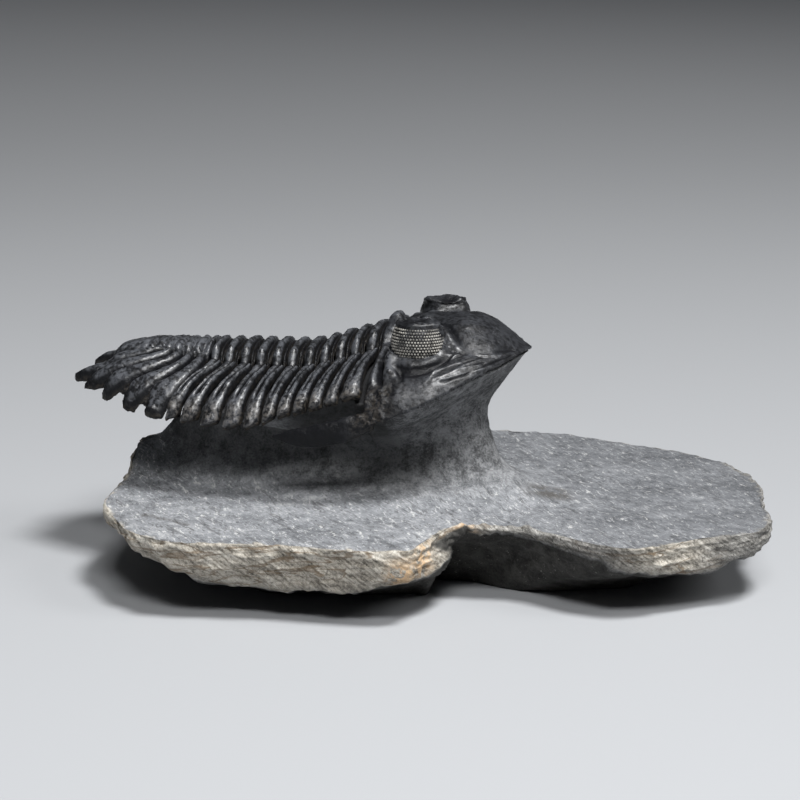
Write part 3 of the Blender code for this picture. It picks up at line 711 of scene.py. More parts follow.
def stone(finish_of_stone):
    """The slab with its broken rim, and the stalk that holds the animal."""
    turns = directions(STONE_TURNS)
    ray = np.stack([np.cos(turns), np.sin(turns), 0 * turns], -1)
    rings, zones = [], []

    def add(zone, part, radius, height, lift=None):
        """A ring of the stone, for a part of the way through one of its zones."""
        points = np.array([*CENTRE, 0.0]) + ray * np.broadcast_to(radius, turns.shape)[:, None]
        points[:, 2] = bed(points) if height is None else height
        if lift:
            points[:, 2] += lift(points)
        rings.append(points)
        zones.append((zone, part))
        return points[:, 2]

    outline = [(x, y, 0) for x, y in LIP] + [(x, -y, 0) for x, y in LIP[-2:0:-1]]
    lip = around(placed(outline), turns)
    turn = np.linspace(0, 2 * pi, 96, endpoint=False)
    neck_x = NECK[0] + NECK[1] * np.sign(np.cos(turn)) * np.abs(np.cos(turn)) ** 0.9
    neck_y = NECK[2] * np.sign(np.sin(turn)) * np.abs(np.sin(turn)) ** 0.9
    neck = around(placed(np.stack([neck_x, neck_y, 0 * turn], -1)), turns)
    along = np.abs(np.cos(turns - HEADING))
    ahead = np.exp(-((np.angle(np.exp(1j * (turns - HEADING))) / HOLLOW_WIDTH) ** 2))
    neck_height = RAISED + NECK_HEIGHT[0] + (NECK_HEIGHT[1] - NECK_HEIGHT[0]) * along ** 3
    rim, inset, base_inset = around(RIM, turns), around(RIM, turns, 3), around(RIM, turns, 5)
    rim_height, low = around(RIM, turns, 2) + RAISED, around(RIM, turns, 4) + RAISED
    reach = np.minimum(1, (rim - neck - SLAB_BORDER) / FLARE[-1][0])

    for part in np.linspace(0.03, 1, BED_ROWS):
        lip_height = add("bed", part, lip * part, None)
    for down in np.linspace(0, 1, WALL_ROWS + 1)[1:]:
        inward = through(down, WALL) + HOLLOW * ahead * sin(pi * down ** 0.8)
        add("wall", down, lip + (neck - lip) * inward, lip_height + (neck_height - lip_height) * down)
    flare_rows = TOP_ROWS // 2
    for out in np.linspace(0, 1, flare_rows + 1)[1:] ** 1.3 * FLARE[-1][0]:
        height = rim_height + (neck_height - rim_height) * through(out, FLARE)
        last_height = add("flare", out / FLARE[-1][0], neck + out * reach, height, spur)
    last, last_spur = neck + FLARE[-1][0] * reach, spur(rings[-1])
    for part in 1 - (1 - np.linspace(0, 1, TOP_ROWS - flare_rows + 1)[1:]) ** 1.25:
        height = last_height + (rim_height - last_height) * part
        add("top", part, last + (rim - last) * part, height, lambda ring: spur(ring) - last_spur * (1 - part))
    rim_spur = spur(rings[-1])
    bulge = 0.5 + 0.35 * np.sin(5 * turns + 1) + 0.25 * np.sin(11 * turns) + 0.15 * inset
    for down in np.linspace(0, 1, EDGE_ROWS + 1)[1:]:
        height = rim_height + (low - rim_height) * down + rim_spur * (1 - down)
        add("edge", down, rim - inset * down + bulge * 4 * down * (1 - down), height)
    foot, base = rim - inset, rim - base_inset
    for part in np.linspace(0, 1, UNDER_ROWS + 1)[1:]:
        left = 1 - 0.4 * part / 0.55 if part < 0.55 else 0.6 * (1 - part) / 0.45
        add("under", part, foot + (base - foot) * part, low * left)
    for part in np.linspace(0, 1, BASE_ROWS + 1)[1:]:
        add("base", part, base * (1 - 0.95 * part), 0)
    start = (*CENTRE, bed(np.array([*CENTRE, 0.0])))
    made = tube("matrix", np.array(rings), [finish_of_stone], start, (*CENTRE, 0.0))
    wear_stone(made, zones, rim)
    return made


def wear_stone(made, zones, rim):
    """Tool marks on the carved stalk, grain on the slab, and chips and layers on the broken edge."""
    names = np.array([name for name, _ in zones])
    parts = np.array([part for _, part in zones])

    def spread(values):
        """A value for each ring, given to each of its points and to the two middle points."""
        values = np.asarray(values, float)
        return np.concatenate([np.repeat(values, STONE_TURNS), [values[0], values[-1]]])

    points, normals = points_of(made), normals_of(made)
    edge = spread(names == "edge")
    down = spread(np.where(names == "edge", parts, 0))
    under = spread(names == "under")
    base = spread(names == "base")
    under_part = spread(np.where(names == "under", parts, 0))
    top = spread((names == "top") | (names == "flare"))
    carved = spread((names == "wall") | (names == "bed"))
    flare = spread(np.where(names == "flare", 1 - parts, 0))
    from_rim = np.concatenate([np.tile(rim, len(zones)), [0, 0]])
    from_rim = from_rim - np.hypot(points[:, 0] - CENTRE[0], points[:, 1] - CENTRE[1])
    near_rim = top * np.exp(-((from_rim / 0.9) ** 2))

    fine = rough(points, 1.1, 3, 5)
    broad = rough(points, 6.0, 2, 11)
    facets = ridged(points * (1, 1, 1.6), 4.2, 3, 21)
    layers = (points[:, 2] + 0.5 * rough(points, 7.0, 2, 31)) / 0.95
    ledge = layers - np.floor(layers)
    ledges = np.where(ledge < 0.75, ledge / 0.75, (1 - ledge) / 0.25) - 0.5
    hatch = np.sin((points[:, 0] * 0.8 + points[:, 2] * 1.5 + 0.8 * lumps(points, 3.0, 41)) * 5.0)
    tools = rough(points * (0.45, 0.45, 1.0), 1.6, 2, 51)
    to_crack, _ = near_path(points * (1, 1, 0), CRACK)

    height = top * (0.05 * fine + 0.16 * broad) + carved * (0.05 * fine + 0.14 * broad + 0.08 * tools)
    height += flare * 0.12 * rough(points, 2.6, 2, 61)
    height += (edge * 0.4 + near_rim * 0.08) * facets
    height += (edge + near_rim) * (0.12 * ledges * edge - 0.12 + 0.06 * hatch * edge + 0.1 * fine)
    height -= 0.25 * top * np.exp(-((to_crack / 0.22) ** 2))
    height += under * (1 - under_part) * (0.5 * facets + 0.12 * fine + 0.35 * broad)
    moved = points + normals * height[:, None]
    moved[:, 2] = np.where(base > 0, 0, np.maximum(moved[:, 2], 0.02))
    move_points(made, moved)

    x, y, z = points.T
    cream = np.exp(-((x - CREAM_X) / 5.0) ** 2) * (y < -20)
    worn_rim = top * np.exp(-((from_rim / 0.35) ** 2)) * rise(lumps(points, 0.9, 71), 0.0, 0.4)
    beige = 1 - 0.8 * rise(x + 3 * lumps(points, 3.0, 73), 6.0, 15.0) + cream
    patch = np.exp(-(((x - STAIN_PLACE[0]) / 3.0) ** 4) - ((y - STAIN_PLACE[1]) / 2.6) ** 4)
    # Painted shade: a mark that grows towards the slab's right and far side, where the top is darkened.
    away = 0.8 * rise(x, 5.0, 40.0) + 0.5 * rise(y, -8.0, 22.0)
    # Painted shade: the bay under the rim is coloured as the shaded underside.
    into_bay = x - 2.6 - 1.3 * (RIM[BAY_ROW][2] + RAISED - z)
    bay = edge * rise(into_bay, -0.6, 0.6) * rise(-x, -10.0, -8.5) * rise(down, 0.12, 0.3)
    # Painted shade: the lower stalk wall and the flare round its foot, on its left part, and the stone just
    # under the near cheek.
    foot = spread((names == "wall") * rise(parts, 0.3, 0.7) + (names == "flare") * (1 - parts) ** 3)
    foot *= rise(-x + 3 * lumps(points, 6.0, 75), -9.0, 2.0)
    ahead, aside, _ = animal_frame(points).T
    shade_below_cheek = carved * rise(ahead, -1.0, 3.0) * rise(-ahead, -16.0, -13.0) * (aside < 0)
    shade_below_cheek *= rise(z, 18.0, 20.5)
    rust = sum(np.exp(-np.sum((points - place[:3]) ** 2, axis=1) / place[3] ** 2) for place in RUST_PLACES)
    marks = {
        "broken": np.clip(edge + worn_rim, 0, 1), "beige": np.clip(beige, 0, 1.3), "layer": down,
        "stain": top * np.clip(0.8 * patch + np.exp(-((to_crack / 0.35) ** 2)), 0, 1),
        "grey side": top * np.clip(away, 0, 1), "carved": np.clip(carved + rise(flare, 0.25, 1.0), 0, 1),
        # under holds painted shade on the slab's underside and in the bay; hollow holds painted shade at the
        # stalk's foot and under the cheek.
        "under": np.clip(under + base + bay, 0, 1), "hollow": np.clip(foot + 1.4 * shade_below_cheek, 0, 1.4),
        # Painted shade under the shell, all but its outermost edge.
        "hidden": spread((names == "bed") & (parts < 0.985)), "rust": np.clip(rust, 0, 1),
    }
    for name, values in marks.items():
        mark(made, name, values)


# The body rings

RING_STATIONS = 168
RING_TURN = 1.35  # more stations where the lobes fall away
LAST_NARROW = 8  # the rings behind this one have wider ends, which close the gap to the tail
ACROSS = np.concatenate([
    np.linspace(1.0, 0.86, 5), np.linspace(0.8, -0.8, 30), np.linspace(-0.86, -1.0, 5),
])
CAP = ((0.35, 1.0), (0.65, 0.97), (0.85, 0.9), (0.96, 0.78), (1.0, 0.6))  # how a lobe's end closes
CAP_LENGTH = 0.45  # how long that end is
TIP_PAST = 0.35  # how far the lobes run past the line of their ends


def lobe_x(number, beyond):
    """Where a body ring lies, from its middle on the axis to the end of its side lobe."""
    if number == len(RING_X):
        return TAIL_FRONT + (TAIL_FRONT_END[0] - TAIL_FRONT) * beyond ** RING_BEND
    return RING_X[number] + RING_BACK[number] * beyond ** RING_BEND


def band(u, low, high, square=3.0):
    """A raised band between two edges, 1 along its flat top and 0 outside."""
    t = np.abs(2 * (u - low) / (high - low) - 1)
    return np.sqrt(np.maximum(0, 1 - t ** square))


def ring_relief(u, y, beyond, half_axis):
    """Height over the smooth back, for a place u from a ring's rear edge, -1, to its front edge, 1."""
    on_axis = np.abs(y) / half_axis
    knob = 1.25 * band(u, -0.95, 0.42, 2.2)
    collar = 0.78 * band(u, 0.5, 0.92, 2.0)
    node = 0.35 * np.exp(-(((on_axis - 0.86) / 0.2) ** 2)) * band(u, -0.85, 0.3, 2.0)
    axis = -1.0 + np.maximum(knob, collar) + node
    furrow = 0.5 - 0.62 * rise(beyond, 0.0, 0.5)
    front = band(u, furrow + 0.04, 0.98, 2.6)
    rear = band(u, -0.98, furrow - 0.04, 2.6)
    ribs = np.maximum(1.25 * front, 1.12 * rear)
    whole = 1.35 * band(u, -0.98, 0.98, 3.0)
    lobe = -1.0 + ribs + (whole - ribs) * rise(beyond, 0.72, 0.86)
    lobe = lobe + 0.25 * rise(beyond, 0.8, 0.97) * band(u, -0.95, 0.95, 2.5)
    share = rise(on_axis, 0.98, 1.22)
    groove = -0.4 * np.exp(-(((on_axis - 1.08) / 0.09) ** 2))
    return axis + (lobe - axis) * share + groove


def body_ring(number, finish_of_shell):
    """One free body ring: an arched axial band that runs out into a blunt lobe at each side."""
    reach = through(lobe_x(number, 1.0), column(LOBE_ENDS, 1)) + TIP_PAST
    body = (reach - CAP_LENGTH) * np.sin(np.linspace(-RING_TURN, RING_TURN, RING_STATIONS)) / sin(RING_TURN)
    cap = reach - CAP_LENGTH + CAP_LENGTH * np.array([along for along, _ in CAP])
    y = np.concatenate([-cap[::-1], body, cap])
    shrink = np.array([scale for _, scale in CAP])
    shrink = np.concatenate([shrink[::-1], np.ones(RING_STATIONS), shrink])
    beyond = np.clip((np.abs(y) - LOBE_ROOT) / (reach - LOBE_ROOT), 0, 1)
    middle = lobe_x(number, beyond)
    front = (middle + lobe_x(number - 1, beyond)) / 2 if number else HEAD_BACK - 0.6 * beyond
    rear = (middle + lobe_x(number + 1, beyond)) / 2
    if number == len(RING_X) - 1:
        rear = lobe_x(number + 1, beyond) + GAP / 2
    wobble = 0.1 * lumps(np.stack([y / 4, 0 * y + number * 7.3, 0 * y], -1), 1.0, 3)
    centre = (front + rear) / 2 + wobble
    flare = 0.3 if number > LAST_NARROW else 0.2
    # The slit between two rings widens outward, and the blunt ends of the lobes close it again
    half = (front - rear) / 2 - 0.1 - 0.26 * rise(beyond, 0.08, 0.35) + flare * rise(beyond, 0.6, 0.9)
    x = centre[:, None] + half[:, None] * ACROSS
    grid_y = np.broadcast_to(y[:, None], x.shape)
    grid_u = np.broadcast_to(ACROSS, x.shape)
    relief = ring_relief(grid_u, grid_y, beyond[:, None], through(middle, AXIS_HALF_WIDTH)[:, None])
    slope = (body_vault(middle, y + 0.1) - body_vault(middle, y - 0.1)) / 0.2
    across = np.stack([0 * slope, -slope, 0 * slope + 1], -1) / np.hypot(slope, 1)[:, None]
    top = np.stack([x, grid_y, body_top(x, grid_y)], -1) + across[:, None] * relief[..., None]
    below_u = np.linspace(-0.9, 0.9, 8)
    below_x = centre[:, None] + half[:, None] * below_u
    below_y = np.broadcast_to(y[:, None], below_x.shape)
    below = np.stack([below_x, below_y, body_vault(below_x, below_y)], -1) - across[:, None] * SHELL
    loops = np.concatenate([top, below], axis=1)
    hub = (top[:, len(ACROSS) // 2] + below[:, 4])[:, None] / 2
    loops = hub + (loops - hub) * shrink[:, None, None]
    made = tube("ring", placed(loops), [finish_of_shell])
    local = animal_frame(points_of(made))
    far_out = np.clip((np.abs(local[:, 1]) - LOBE_ROOT) / (reach - LOBE_ROOT), 0, 1)
    wear_shell(made, tip=rise(far_out, 0.75, 1.0))
    crest = np.concatenate([relief, np.full(below_u.shape + (1,), -2.0).T.repeat(len(y), 0)], axis=1)
    crest = np.concatenate([crest.ravel(), [0, 0]])
    mark(made, "crest", rise(crest, -0.3, 0.25))
    mark(made, "dust", 0.1 * (1 - rise(crest, -0.8, -0.1)) + 0.3 * rise(far_out, 0.85, 1.0))
    return made


def wear_shell(made, tip, amount=0.075):
    """Small dents and lumps all over a piece of shell, and rough ends."""
    points, normals = points_of(made), normals_of(made)
    height = amount * rough(points, 1.3, 3, 81, 0.6) + tip * (0.12 * rough(points, 0.9, 2, 85) + 0.05)
    move_points(made, points + normals * height[:, None])


# The tail

TAIL_GRAIN = 0.14  # size of the facets
# Half of a rib's width along it, and where the rings of the tail's axis are
TAIL_RIB_HALF = ((0.0, 0.4), (0.4, 0.68), (0.7, 1.05), (0.84, 1.15), (0.93, 0.85), (1.0, 0.08))
TAIL_AXIS_RINGS = (-12.9, -14.5, -16.0, -17.4, -18.8, -20.1, -21.3, -22.4, -23.4, -24.3)


def tail_vault(x, y):
    """The smooth back, held level beyond the margin, so that the spines' sides don't droop."""
    edge = through(x, column(LOBE_ENDS, 1))
    return body_vault(x, np.clip(y, -edge, edge))


def tail_rib(rib, side, finishes):
    """A rib that sweeps back from the axis and ends in a leaf-shaped spine."""
    down = np.linspace(0, 1, 60)
    root_y = through(TAIL_RINGS[rib], AXIS_HALF_WIDTH) - 0.4
    tip_x, tip_y = TAIL_TIPS[rib]
    x = TAIL_RINGS[rib] + (tip_x - TAIL_RINGS[rib]) * down ** 2.1
    y = root_y + (tip_y - root_y) * np.sin(down * pi / 2) ** 0.92
    along = np.stack([np.gradient(x), np.gradient(y)], -1)
    along /= np.linalg.norm(along, axis=1)[:, None]
    wide = through(down, TAIL_RIB_HALF) * (1.3 if rib == 0 else 1.0)
    turn = np.linspace(0, 2 * pi, 28, endpoint=False)
    aside = np.sign(np.cos(turn)) * np.abs(np.cos(turn)) ** 0.6
    lift = np.sign(np.sin(turn)) * np.abs(np.sin(turn)) ** 0.75
    grid_x = x[:, None] - along[:, 1:2] * wide[:, None] * aside
    grid_y = y[:, None] + along[:, 0:1] * wide[:, None] * aside
    thick = np.where(lift > 0, 1.5, 0.5) * through(down, ((0, 0.8), (0.2, 1), (0.9, 1), (1, 0.4)))[:, None]
    z = tail_vault(grid_x, side * grid_y) - 0.85 + thick * lift
    return tube("rib", placed(np.stack([grid_x, side * grid_y, z], -1)), finishes)


def tail_plate(finishes):
    """The plate that the ribs stand on, out to the notches between the spines."""
    notches = [TAIL_FRONT_END] + [(x + TAIL_SPINE, y + 0.1) for x, y in TAIL_TIPS[1:]] + [TAIL_LAST_NOTCH]
    notches.append((TAIL_MID_TIP + 1.0, -0.15))  # just past the middle, so that the plate's halves meet
    axis = [(0, TAIL_FRONT)] + [(k + 0.5, x) for k, x in enumerate(TAIL_RINGS)] + [(5, -20.6), (6, -27.6)]
    place = np.linspace(0, 6, 64)[:, None]
    across = np.linspace(-1, 1, 81)[None, :]
    amount = np.abs(across)
    middle = through(place, axis)
    edge_x = through(place, list(enumerate(x for x, _ in notches)))
    edge_y = through(place, list(enumerate(y for _, y in notches)))
    y = edge_y * across
    x = middle + (edge_x - middle) * amount ** 1.8
    z = tail_vault(x, y)
    top = np.stack([x, y, z - 0.95], -1)
    bottom = np.stack([x, y, z - SHELL - 0.1], -1)
    return slab_between("plate", placed(top), placed(bottom), finishes)


def tail_axis(finishes):
    """The ringed axis of the tail, which ends in a steep slope."""
    x = np.linspace(TAIL_FRONT, -27.8, 190)[:, None]
    half = through(x, AXIS_HALF_WIDTH)
    across = np.linspace(-1.1, 1.1, 61)[None, :]
    y = across * half
    ringing = np.zeros_like(x)
    for centre in TAIL_AXIS_RINGS:
        ringing = np.maximum(ringing, band(x, centre - 0.62, centre + 0.62, 2.0))
    strength = 1.1 * rise(-x, 25.2, 18.0) * (0.5 + 0.5 * rise(np.abs(across), 0.2, 0.8))
    z = body_top(x, y) + 0.3 - strength * (1 - ringing) - 0.5 * rise(np.abs(across), 0.95, 1.1)
    bottom = tail_vault(x, y) - 1.0
    top = np.stack([x + 0 * y, y, np.maximum(z, bottom + 0.1)], -1)
    return slab_between("axis", placed(top), placed(np.stack([x + 0 * y, y, bottom], -1)), finishes)


def tail_shield(finish_of_shell):
    """The tail shield: a tapering ringed axis, and ribs that sweep back into five pairs of spines."""
    finishes = [finish_of_shell]
    bodies = [tail_axis(finishes), tail_plate(finishes)]
    for rib in range(len(TAIL_TIPS)):
        for side in (-1, 1):
            bodies.append(tail_rib(rib, side, finishes))
    made = grown_together("pygidium", bodies, TAIL_GRAIN, finishes)
    local = animal_frame(points_of(made))
    edge = through(local[:, 0], column(LOBE_ENDS, 1))
    over = local[:, 2] - tail_vault(local[:, 0], local[:, 1])
    wear_shell(made, tip=rise(np.abs(local[:, 1]) / edge, 0.7, 1.0))
    mark(made, "crest", rise(over, 0.0, 0.7))
    mark(made, "dust", 0.12 * (1 - rise(over, -0.8, -0.2)))
    return made


# The head

HEAD_GRAIN = 0.156  # size of the facets
# An eye's width at each part of its height
EYE_LEVELS = (
    (0.0, 1.5), (0.1, 1.42), (0.17, 1.3), (0.21, 1.05), (0.25, 0.93), (0.4, 1.0), (0.6, 0.99), (0.76, 0.92),
    (0.84, 0.86), (0.88, 0.83), (0.91, 0.87), (0.95, 0.85), (0.985, 0.72), (1.0, 0.45),
)


def eye_barrel(side, finishes):
    """A tall eye: a short barrel with a lid on top."""
    turn = np.linspace(0, 2 * pi, 72, endpoint=False)
    loops = []
    for up in np.linspace(0, 1, 28):
        wide = through(up, EYE_LEVELS)
        x = EYE_CENTRE[0] + EYE_RADIUS[0] * wide * np.cos(turn)
        y = EYE_CENTRE[1] + EYE_RADIUS[1] * wide * np.sin(turn)
        foot = head_vault(x, y) - SHELL / 2
        loops.append(np.stack([x, side * y, foot + (EYE_TOP - foot) * up], -1))
    return tube("eye", placed(loops), finishes)


def cheek_spine(side, finishes):
    """The flat blade that runs back from the corner of the cheek."""
    path = [(-x, y, z, high, wide) for (x, y, z), (high, wide) in zip(CHEEK_SPINE, CHEEK_SPINE_HALF)]
    back = np.linspace(path[0][0], path[-1][0], 60)[:, None]
    y, z, high, wide = (through(back, [(row[0], row[k]) for row in path]) for k in (1, 2, 3, 4))
    turn = np.linspace(0, 2 * pi, 32, endpoint=False)[None, :]
    loops = np.stack([-back + 0 * turn, side * (y + wide * np.cos(turn)), z + high * np.sin(turn)], -1)
    return tube("spine", placed(loops), finishes)


def head_plate(finishes):
    """The vaulted shield with its swollen middle lobe."""
    x = np.linspace(HEAD_BACK, 31.5, 140)[:, None]
    across = np.linspace(-1, 1, 241)[None, :]
    y = across * through(x, column(HEAD_MARGIN, 1))
    z = head_top(x, y)
    under = head_vault(x, y) - SHELL * (1 - 0.55 * np.abs(across) ** 6) * snout_taper(x, y)
    top = np.stack([x + 0 * y, y, z], -1)
    bottom = np.stack([x + 0 * y, y, under], -1)
    return slab_between("shield", placed(top), placed(bottom), finishes)


# Furrows and ridges of one side of the head, which the other repeats: their width, height and line
HEAD_LINES = {
    "moat round the eye": (0.75, -0.55, ((13.9, 11.4, 25.9), (14.9, 12.7, 25.3), (16.0, 13.6, 24.9),
        (17.6, 14.1, 24.7), (19.6, 13.6, 25.1), (21.5, 12.0, 25.8), (22.4, 9.8, 26.5))),
    "ridge before the eye": (0.45, 0.35, ((19.1, 4.4, 30.0), (20.4, 5.9, 29.2), (21.4, 7.0, 28.3),
        (22.3, 7.9, 27.2), (23.5, 8.8, 26.6))),
    "furrow beside the lobe": (0.4, -0.3, ((18.5, 3.5, 30.2), (21.0, 4.9, 29.6), (22.4, 7.0, 28.3),
        (23.2, 7.9, 27.2), (24.2, 8.4, 26.7), (25.5, 8.4, 26.6))),
    "upper cheek fold": (0.17, 0.15, ((20.2, 15.1, 24.1), (21.8, 14.5, 24.4), (23.5, 13.0, 25.0),
        (25.2, 11.5, 25.4), (26.9, 9.9, 25.6))),
    "second cheek fold": (0.24, 0.24, ((20.4, 14.6, 24.5), (21.6, 12.3, 25.7), (22.9, 10.1, 26.4),
        (23.7, 9.1, 26.5))),
    "lower cheek fold": (0.16, 0.2, ((21.1, 15.2, 24.0), (23.6, 13.8, 24.4), (26.5, 11.0, 25.0),
        (28.8, 8.0, 25.5))),
    "furrow between folds": (0.2, -0.28, ((20.6, 15.0, 24.2), (22.0, 13.4, 25.1), (24.0, 11.4, 25.9))),
    "border furrow": (0.16, -0.26, ((21.5, 15.6, 23.8), (24.8, 12.9, 24.6), (27.4, 9.4, 25.4),
        (29.0, 6.6, 25.8), (30.2, 3.6, 26.0))),
    "brow line": (0.18, -0.2, ((26.0, 7.9, 26.6), (27.6, 6.7, 26.5), (28.8, 5.4, 26.5),
        (29.9, 3.4, 26.3))),
    "brow fold": (0.2, 0.16, ((25.4, 8.9, 26.4), (27.0, 8.2, 26.2), (28.4, 6.7, 26.1),
        (29.6, 4.6, 26.1))),
    "neck furrow": (0.35, -0.5, ((14.2, 0.0, 29.4), (14.3, 2.4, 29.2), (14.0, 4.4, 28.0),
        (13.4, 6.0, 27.0))),
    "lobe furrow": (0.35, -0.4, ((16.2, 0.8, 30.1), (16.5, 2.4, 29.8), (17.0, 4.4, 28.9))),
    "rear border": (0.42, 0.5, ((12.6, 5.5, 27.2), (12.6, 8.0, 26.6), (12.6, 11.0, 25.5),
        (12.7, 14.0, 24.0), (12.8, 16.4, 22.9))),
    "gap before the border": (0.3, -1.0, ((13.3, 6.4, 26.9), (13.3, 9.0, 26.2), (13.35, 12.0, 25.1),
        (13.6, 14.6, 23.9), (14.1, 16.0, 23.0))),
    "egg behind the eye": (0.85, 0.85, ((14.7, 9.6, 26.4), (14.5, 11.2, 25.8), (14.7, 13.2, 24.9),
        (15.2, 14.8, 24.2))),
    "gap beside the egg": (0.35, -0.4, ((16.0, 13.4, 24.9), (16.5, 14.6, 24.4), (16.7, 15.8, 23.9))),
}
FOLD_TURN = radians(-50.0)  # the way of the cheek's fine folds
# Knobs between the eye and the middle lobe: place, reach and height
HEAD_KNOBS = (
    (13.0, 0.6, 30.0, 1.0, 0.35), (13.3, 3.9, 28.6, 0.8, 0.5), (15.2, 2.3, 30.0, 0.85, 0.45),
    (17.3, 2.5, 30.3, 0.9, 0.4), (15.3, 5.2, 28.3, 0.9, 0.6), (17.2, 5.6, 29.0, 0.9, 0.7),
    (19.2, 5.3, 29.4, 0.9, 0.5),
)


def head_shield(finish_of_shell):
    """The head shield with its swollen middle lobe, its eyes and its cheek spines, grown as one."""
    finishes = [finish_of_shell]
    bodies = [head_plate(finishes)]
    for side in (-1, 1):
        bodies += [eye_barrel(side, finishes), cheek_spine(side, finishes)]
    made = grown_together("cephalon", bodies, HEAD_GRAIN, finishes)
    points, normals = points_of(made), normals_of(made)
    local = animal_frame(points)
    folded = local * (1, 0, 1) + np.abs(local) * (0, 1, 0)
    height = np.zeros(len(points))
    for width, lift, path in HEAD_LINES.values():
        height += stroke(folded, path, width, lift)
    for *place, reach, lift in HEAD_KNOBS:
        height += lift * np.exp(-(np.sum((folded - place) ** 2, axis=1) / reach ** 2) ** 1.3)
    facing = rise(normals[:, 2], -0.1, 0.2)
    x, y, z = folded.T
    corner = rise(y, 14.5, 16.5) * rise(-x, -17.0, -14.0) * rise(x, 9.5, 12.0)
    height += corner * 0.22 * ridged(points, 2.0, 3, 91) - 0.2 * corner
    lid = rise(z, 29.9, 30.5) * rise(-np.hypot(x - EYE_CENTRE[0], y - EYE_CENTRE[1]), -4.0, -2.6)
    height += 0.07 * rough(points, 2.4, 2, 95) + lid * (0.28 * ridged(points, 2.2, 2, 97) - 0.1)
    beside_lobe, to_margin = y / through(x, LOBE_HALF_WIDTH), y / through(x, column(HEAD_MARGIN, 1))
    cheek = rise(x, 18.5, 21.0) * rise(beside_lobe, 1.0, 1.25) * rise(-to_margin, -0.97, -0.88)
    along, across = x * cos(FOLD_TURN) + y * sin(FOLD_TURN), y * cos(FOLD_TURN) - x * sin(FOLD_TURN)
    height += 0.1 * cheek * ridged(np.stack([along / 5, across / 0.9, 0 * x], -1), 1.0, 2, 101)
    move_points(made, points + normals * (facing * height)[:, None])
    wear_shell(made, tip=0.3 * corner, amount=0.035)
    crest = np.clip(0.3 + 1.5 * height, 0, 1) * (1 - 0.4 * lid) * (1 - 0.7 * corner)
    mark(made, "crest", crest * rise(x, 8.0, 12.0))
    mark(made, "dust", np.clip(0.12 * corner, 0, 1))
    return made


# The lens field of an eye: how many lenses go round it and up it, where it starts and ends, a lens's radius
LENS_FIELD = {"Columns": 27, "Rows": 11, "Start": radians(-3), "End": radians(183), "Bottom": 26.1 * MM,
              "Top": 30.0 * MM, "Lens": 0.17 * MM}


def lens_field_tree(finish_of_lens, sizes):
    """Small domes in a close-packed pattern over the outer face of an eye."""
    tree = bpy.data.node_groups.new("lens field", "GeometryNodeTree")
    tree.interface.new_socket("Geometry", in_out="OUTPUT", socket_type="NodeSocketGeometry")
    for name, value in sizes.items():
        kind = "NodeSocketInt" if isinstance(value, int) else "NodeSocketFloat"
        tree.interface.new_socket(name, in_out="INPUT", socket_type=kind).default_value = value
    graph = Graph(tree)
    given = tree.nodes.new("NodeGroupInput")
    inputs = {name: Socket(graph, given.outputs[name]) for name in sizes}
    counts = {"Vertices X": inputs["Columns"], "Vertices Y": inputs["Rows"]}
    grid = graph.add("GeometryNodeMeshGrid", None, counts)
    index = graph.add("GeometryNodeInputIndex")
    row = index.math("MODULO", index, inputs["Rows"])
    col = index.math("FLOOR", index / inputs["Rows"])
    odd = row.math("MODULO", row, 2.0)
    part = (col + odd * 0.5) / inputs["Columns"]
    turn = inputs["Start"] + (inputs["End"] - inputs["Start"]) * part
    up = row / (inputs["Rows"] - 1)
    height = inputs["Bottom"] + (inputs["Top"] - inputs["Bottom"]) * up
    lean = up - 0.4
    wide = 1.015 - lean * lean * 0.42
    x = turn.math("COSINE", turn) * wide * (EYE_RADIUS[0] * MM) + EYE_CENTRE[0] * MM
    y = (turn.math("SINE", turn) * wide * (EYE_RADIUS[1] * MM) + EYE_CENTRE[1] * MM) * inputs["Side"]
    spot = graph.add("ShaderNodeCombineXYZ", None, {0: x, 1: y, 2: height})
    sunk = up.math("MAXIMUM", 0.9 - up, 0.0)
    oval = (part * 2.0 - 1.0) ** 2.0 + (sunk * 1.15) ** 2.0
    points = graph.add("GeometryNodeMeshToPoints", None, {"Mesh": grid, "Position": spot})
    keep = oval.math("LESS_THAN", oval, 1.0)
    out_x = turn.math("COSINE", turn) / EYE_RADIUS[0]
    out_y = turn.math("SINE", turn) / EYE_RADIUS[1] * inputs["Side"]
    facing = graph.add("ShaderNodeCombineXYZ", None, {0: out_x, 1: out_y, 2: up * 0.16 - 0.02})
    turned = graph.add("FunctionNodeAlignRotationToVector", {"axis": "Z"}, {"Vector": facing})
    ball = graph.add("GeometryNodeMeshUVSphere", None, {"Segments": 8, "Rings": 5, "Radius": inputs["Lens"]})
    placed_balls = graph.add("GeometryNodeInstanceOnPoints", None, {
        "Points": points, "Selection": keep, "Instance": ball, "Rotation": turned,
        "Scale": (1.0, 1.0, 0.75)})
    real = graph.add("GeometryNodeRealizeInstances", None, {"Geometry": placed_balls})
    dressed = graph.add("GeometryNodeSetMaterial", None, {"Geometry": real, "Material": finish_of_lens})
    end = tree.nodes.new("NodeGroupOutput")
    tree.links.new(dressed.output, end.inputs[0])
    return tree


def eye_lenses(name, side, finish_of_lens):
    """The lenses of one eye, set in its outer face."""
    made = piece(name, [(0, 0, 0)], [], [finish_of_lens])
    field = made.modifiers.new("lenses", "NODES")
    sizes = {**LENS_FIELD, "Side": float(side)}
    field.node_group = lens_field_tree(finish_of_lens, sizes)
    for socket in field.node_group.interface.items_tree:
        if socket.item_type == "SOCKET" and socket.in_out == "INPUT":
            field[socket.identifier] = sizes[socket.name]
    graph = bpy.context.evaluated_depsgraph_get()
    mesh = bpy.data.meshes.new_from_object(made.evaluated_get(graph))
    made.modifiers.clear()
    made.data = mesh
    mesh.shade_smooth()
    move_points(made, placed(points_of(made)))
    return made


# The studio

